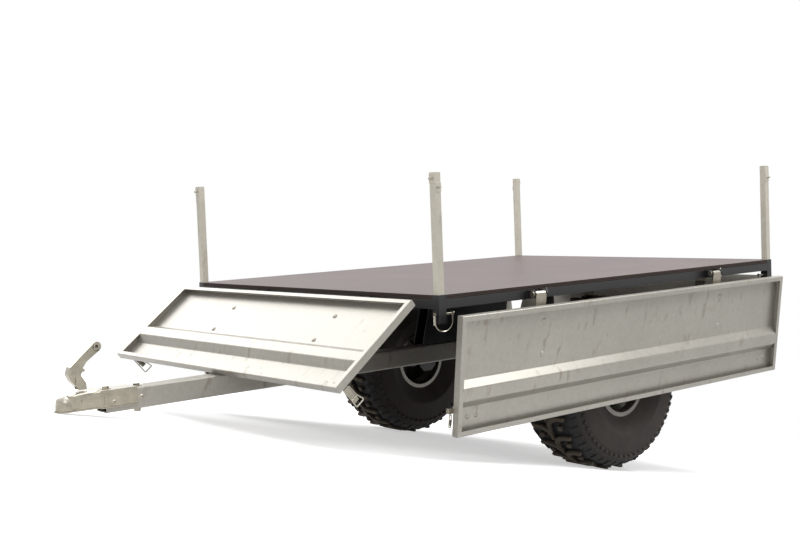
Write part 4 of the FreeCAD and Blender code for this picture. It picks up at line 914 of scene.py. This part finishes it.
class TRAILER_OT_lock_pins(bpy.types.Operator):
    """The post lock pins with their sprung wire bails"""
    bl_idname = "trailer.lock_pins"
    bl_label = "Lock pins"

    def execute(self, context):
        mesh = bmesh.new()
        leg, drop = 38.9, 56.9
        bail = ((-leg, 0, 0), (-leg, 0, -drop), (leg, 0, -drop), (leg, 0, 0))
        collar = ((4.2, -2.6), (6.6, -2.6), (6.6, 2.6), (4.2, 2.6))
        # The coiled end of the spring wire: nine turns of 3.2 mm from its foot
        coil = [(2.3, -34)]
        for turn in range(9):
            foot = -34 + turn * 3.2
            coil += [(4.6, foot), (4.9, foot + 1.6), (3.6, foot + 3)]
        coil += [(2.3, -5)]
        for x, outer in ((-32.5, leg), (-1842.5, -leg)):
            for side in (1, -1):
                at = spot(x, side * 714.5, -62)
                add_rod(mesh, at @ spot(x=-41.5, axis="Y", angle=90), 4, 83, 20, 0.8)
                add_wire(mesh, at, bail, 2.0, bend=37.0)
                for end in (-leg, leg):
                    add_lathe(
                        mesh, at @ spot(x=end, axis="Y", angle=90), collar, 20, 0.8, 2, True)
                # The coil is on the leg nearer the trailer's end
                add_lathe(mesh, at @ spot(x=outer), coil, 16, 0.4, 1, True)
        new_piece("bail_lock_pins", mesh, TRAILER, "chassis", "zinc_plated", ("lock_pins",))
        return {"FINISHED"}


class TRAILER_OT_coupler(bpy.types.Operator):
    """The pressed coupler, its raised lever, its pivot and the bolts through the drawbar"""
    bl_idname = "trailer.coupler"
    bl_label = "Coupler"

    def execute(self, context):
        self.pressing()
        self.lever()
        self.bolts()
        return {"FINISHED"}

    def pressing(self):
        """The body's own solid with soft edges, a roof, a dome over the ball and folded edges."""
        rear, ball, nose, foot, fold = 831, 933, 936, -313.5, -316.8
        mesh = soft_edged("coupler_body", 0.8, 55)
        # The round-shouldered top of the pressing tapers to the dome
        top = bmesh.new()
        roof = (
            (rear, foot), (rear, -257.4), (888, -259.8), (921, -263.4), (nose, -265.2), (nose, foot))
        add_plate(top, spot(y=37.5, axis="X", angle=90), roof, 75, 9.0)
        for corner in top.verts:
            corner.co.y *= 1 - 0.085 * (corner.co.x - rear) / (nose - rear)
        dome = (
            (0, -264.6), (12, -265.6), (22, -269.6), (29, -277), (32.8, -287), (34.1, -300),
            (34.3, -312))
        add_lathe(top, spot(x=ball), dome, 48)
        # The lower edge is folded out round the nose and along both sides
        brim = ((31, fold), (36.2, fold), (36.6, -315), (36.2, foot), (31, foot))
        add_lathe(top, spot(x=ball), brim, 48, closed=True)
        edge = ((833, 36), (ball, 32), (ball, 36.6), (833, 42))
        for side in (-1, 1):
            add_plate(top, spot(z=fold) @ flipped(y=side), edge, foot - fold, 0.6)
        put(mesh, top, TRAILER)
        new_piece("coupler_pressing", mesh, Matrix(), "chassis", "zinc_plated", ("coupler_body",), 45.0)

    def lever(self):
        """Two cheeks and a web, drawn from the side: foot, spur, grip with its round eye, knee."""
        mesh = bmesh.new()
        eye, grip = (826, -122.5), 16
        below = (
            (900, -240), (894, -254), (866, -254), (867, -234), (884, -209), (882, -201),
            (868, -194), (877, -186), (863, -167), (815.4, -134.5))
        above = ((836.6, -110.5), (918, -182), (925.5, -203), (914.5, -225))
        cheek = (*below, *on_circle(eye, 10, range(240, 395, 22)), *above)
        ring = ((6, 0), (grip - 0.6, 0), (grip, 0.6), (grip, 2.4), (grip - 0.6, 3), (6, 3))
        for low in (12.5, -9.5):
            place = spot(y=low, axis="X", angle=90)
            add_plate(mesh, place, cheek, 3, 0.5, 2.0)
            add_lathe(mesh, place @ spot(*eye), ring, 36, closed=True)
        web = [(901, -241), (915.5, -225), (926.7, -203), (918.8, -181.2)]
        web += on_circle(eye, 14.6, (48, 80, 110, 140, 170, 205))
        add_strip(mesh, spot(y=12.7, axis="X", angle=90), web, 25.4, 3, 7)
        add_rod(mesh, spot(899.7, 15.5, -217.5, "X", 90), 5, 31, 28, 0.6)
        washer = ((3, 0), (7.5, 0), (7.5, 1.6), (3, 1.6))
        for side in (-1, 1):
            place = spot(907.2, side * 12.4, -200.7, "X", -90 * side)
            add_lathe(mesh, place, washer, 28, 0.4, 2, True)
        trigger = ((899.7, 14.2, -217.5), (906, 14.2, -236), (894, 14.2, -252))
        add_wire(mesh, Matrix(), trigger, 1.3, bend=8.0)
        new_piece("coupler_handle", mesh, TRAILER, "chassis", "zinc_plated", ("coupler_lever",), 40.0)

    def bolts(self):
        """Bolts through the drawbar, buttons and beads of the pressing, and its folded foot."""
        mesh = bmesh.new()
        for x, z in ((797, -262.7), (688, -267)):
            add_hex_bolt(mesh, spot(x, 0, z), 19.0, 7.0)
        add_hex_bolt(mesh, spot(688, 0, -337, "X", 180), 19.0, 12.0)
        add_rod(mesh, spot(848, 0, -262.9), 7, 1.5, 24, 0.5)
        # The bead pressed into the sheet where the body meets the channel
        bead = ((0, 0), (3.4, 2), (3.4, 42), (0, 44))
        for side in (-1, 1):
            out = -90 * side
            add_coach_bolt(mesh, spot(790, side * 39.2, -303, "X", out), 7, 2)
            add_coach_bolt(mesh, spot(690, side * 34.9, -300, "X", out), 8, 2.5)
            add_rod(mesh, spot(894.6, side * 36, -286.3, "X", out), 4.5, 1.5, 24, 0.5)
            # The lower edge of the coupler's channel is folded out
            lip = ((0, 0), (0, -4.5), (side * 7, -4.5))
            add_strip(mesh, spot(705, side * 37.4, -313.5) @ SHEET, lip, 128, 3, 1.5)
            add_lathe(mesh, spot(825, side * 38.4, -312), bead, 20)
        new_piece("coupler_bolts", mesh, TRAILER, "chassis", "zinc_plated")


class TRAILER_OT_wheels(bpy.types.Operator):
    """Steel rims with rolled lips, dished discs, wheel nuts, grease caps and valves"""
    bl_idname = "trailer.wheels"
    bl_label = "Wheels"

    def execute(self, context):
        # Radius and height over the wheel's middle
        barrel = (
            (113, 105), (124, 106), (125, 109), (107.5, 110), (106, 76), (92, 58), (92, -58),
            (106, -76), (107.5, -110), (125, -109), (124, -106), (113, -105), (113, -76), (96, -58),
            (96, 58), (113, 76))
        disc = ((36.5, 24), (82, 24), (92.5, -2), (92.5, 3), (84.5, 29), (36.5, 29))
        hub = (
            (15.05, -62), (34, -62), (36, -60), (36, 15), (70, 15), (72, 17), (72, 24), (36, 24),
            (36, 50), (34, 52), (15.05, 52))
        cap = ((0, 74), (20, 74), (26, 66), (26, 52), (0, 52))
        bolts, bolt_circle = 4, 55  # the circle's radius
        for name, side in WHEELS:
            mesh = bmesh.new()
            add_lathe(mesh, Matrix(), barrel, 96, 1.6, 3, True)
            add_lathe(mesh, Matrix(), disc, 64, 1.5, 3, True)
            # The valve leans in and narrows to its tip
            add_rod(mesh, spot(101, 0, 52, "Y", -14), 5.5, 30, 16, 1.0, 4.2)
            new_piece("rim_pressing_" + name, mesh, wheel_place(side), "wheel_" + name,
                      "wheel_silver", ("rim_" + name,), 34.0)
            mesh = bmesh.new()
            add_lathe(mesh, Matrix(), hub, 48, 0.8, 2, True)
            add_lathe(mesh, Matrix(), cap, 40, 2.5, 4)
            for number in range(bolts):
                at = spot(axis="Z", angle=360 / bolts * number) @ spot(x=bolt_circle)
                # The bolt's end stands 3 mm out of its nut
                add_rod(mesh, at @ spot(z=24), 6, 19, 20, 0.8)
                add_rod(mesh, at @ spot(z=29), 10, 11, 6, 0.8)
            new_piece("hub_and_nuts_" + name, mesh, wheel_place(side), "wheel_" + name,
                      "hub_paint", ("hub_" + name,), 34.0)
        return {"FINISHED"}


TREAD_PITCHES, NUBS = 24, 60
# The tread's shoulders fall by this share of their way out from here
SHOULDER, SHOULDER_FALL = 88, 0.55


class TRAILER_OT_tyres(bpy.types.Operator):
    """Fat tyres: a moulded carcass with hooked bars, squares, shoulder blocks and a row of nubs"""
    bl_idname = "trailer.tyres"
    bl_label = "Tyres"

    def execute(self, context):
        edge = millimetres(context.scene.trailer_sizes.lug_edge)
        # Half of the carcass's section, radius and distance from the middle: outside, then inside
        half = (
            (306, 40), (305, 98), (287, 123), (255, 139), (190.5, 145), (126, 108), (113, 106),
            (113, 96), (190.5, 135), (255, 124), (281, 96), (296, 70))
        ring = half + tuple((r, -y) for r, y in reversed(half))
        carcass = bmesh.new()
        add_lathe(carcass, Matrix(), ring, 120, 9.0, 3, True)
        pitch = self.tread_pitch(edge)
        lugs = bmesh.new()
        for number in range(TREAD_PITCHES):
            for half_pitch, hand in ((0, 1), (0.5, -1)):
                part = bmesh.new()
                part.from_mesh(pitch)
                turn = (number + half_pitch) * 360 / TREAD_PITCHES
                put(lugs, part, spot(axis="Y", angle=turn) @ flipped(y=hand))
        bpy.data.meshes.remove(pitch)
        for number in range(NUBS):
            for sign in (-1, 1):
                at = spot(axis="Y", angle=number * 360 / NUBS + 2) @ flipped(y=sign)
                add_block(lugs, at @ spot(0, 134, 266, "X", -36), (15, 8, 15), 1.5, 1)
        bmesh.ops.transform(lugs, matrix=spot(axis="X", angle=90), verts=lugs.verts)
        halves = [mesh_data("carcass", carcass), mesh_data("lugs", lugs)]
        for name, side in WHEELS:
            mesh = bmesh.new()
            for data in halves:
                mesh.from_mesh(data)
            new_piece("tread_and_carcass_" + name, mesh, wheel_place(side), "wheel_" + name,
                      "tyre_rubber", ("tyre_" + name,), 35.0)
        for data in halves:
            bpy.data.meshes.remove(data)
        return {"FINISHED"}

    def tread_pitch(self, edge):
        """One pitch of one half of the tread, drawn flat and then laid round the tyre."""
        # Along the tyre and across it from the middle
        bar = (
            (-33, -3), (-4, -6), (16, 5), (28, 26), (32, 50), (32, 84), (17, 82), (17, 53), (12, 35),
            (1, 18), (-13, 9), (-33, 9))
        square = ((-25, 42), (-6, 44), (-7, 63), (-26, 61))
        long_block = ((-40, 92), (-17, 90), (-14, 119), (-36, 122))
        short_block = ((0, 90), (24, 92), (27, 121), (5, 119))
        tread = bmesh.new()
        for outline, root, tip, soft in (
                (bar, 300, 323.8, 4.0), (square, 302, 322, 2.5), (long_block, 281, 314, 3.0),
                (short_block, 281, 312, 3.0)):
            add_plate(tread, spot(z=root) @ flipped(x=-1), outline, tip - root, edge, soft, 3)
        for corner in tread.verts:
            along, across, height = corner.co
            height -= SHOULDER_FALL * max(across - SHOULDER, 0)
            turn = along / TYRE_RADIUS
            corner.co = (height * math.sin(turn), across, height * math.cos(turn))
        return mesh_data("pitch", tread)


class TRAILER_PT_looks(bpy.types.Panel):
    """The trailer's steps, sizes, colours and studio"""
    bl_idname = "TRAILER_PT_looks"
    bl_label = "Flatbed trailer"
    bl_space_type = "VIEW_3D"
    bl_region_type = "UI"
    bl_category = "Trailer"

    def draw(self, context):
        for operator in OPERATORS:
            self.layout.operator(operator.bl_idname)
        scene = context.scene
        for group in (scene.trailer_sizes, scene.trailer_colours, scene.trailer_studio):
            box = self.layout.box()
            for name in group.bl_rna.properties.keys():
                if name not in ("rna_type", "name"):
                    box.prop(group, name)


OPERATORS = (
    TRAILER_OT_stage, TRAILER_OT_finishes, TRAILER_OT_frame, TRAILER_OT_drop_sides,
    TRAILER_OT_hinges, TRAILER_OT_latches, TRAILER_OT_lock_pins, TRAILER_OT_coupler,
    TRAILER_OT_wheels, TRAILER_OT_tyres)
CLASSES = (TrailerColours, TrailerSizes, TrailerStudio, *OPERATORS, TRAILER_PT_looks)


def register():
    for cls in CLASSES:
        bpy.utils.register_class(cls)
    bpy.types.Scene.trailer_colours = bpy.props.PointerProperty(type=TrailerColours)
    bpy.types.Scene.trailer_sizes = bpy.props.PointerProperty(type=TrailerSizes)
    bpy.types.Scene.trailer_studio = bpy.props.PointerProperty(type=TrailerStudio)


def unregister():
    del bpy.types.Scene.trailer_studio
    del bpy.types.Scene.trailer_sizes
    del bpy.types.Scene.trailer_colours
    for cls in reversed(CLASSES):
        bpy.utils.unregister_class(cls)


def main():
    register()
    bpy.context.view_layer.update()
    bpy.ops.trailer.stage()
    bpy.ops.trailer.finishes()
    bpy.ops.trailer.frame()
    bpy.ops.trailer.drop_sides()
    bpy.ops.trailer.hinges()
    bpy.ops.trailer.latches()
    bpy.ops.trailer.lock_pins()
    bpy.ops.trailer.coupler()
    bpy.ops.trailer.wheels()
    bpy.ops.trailer.tyres()


if __name__ == "__main__":
    main()
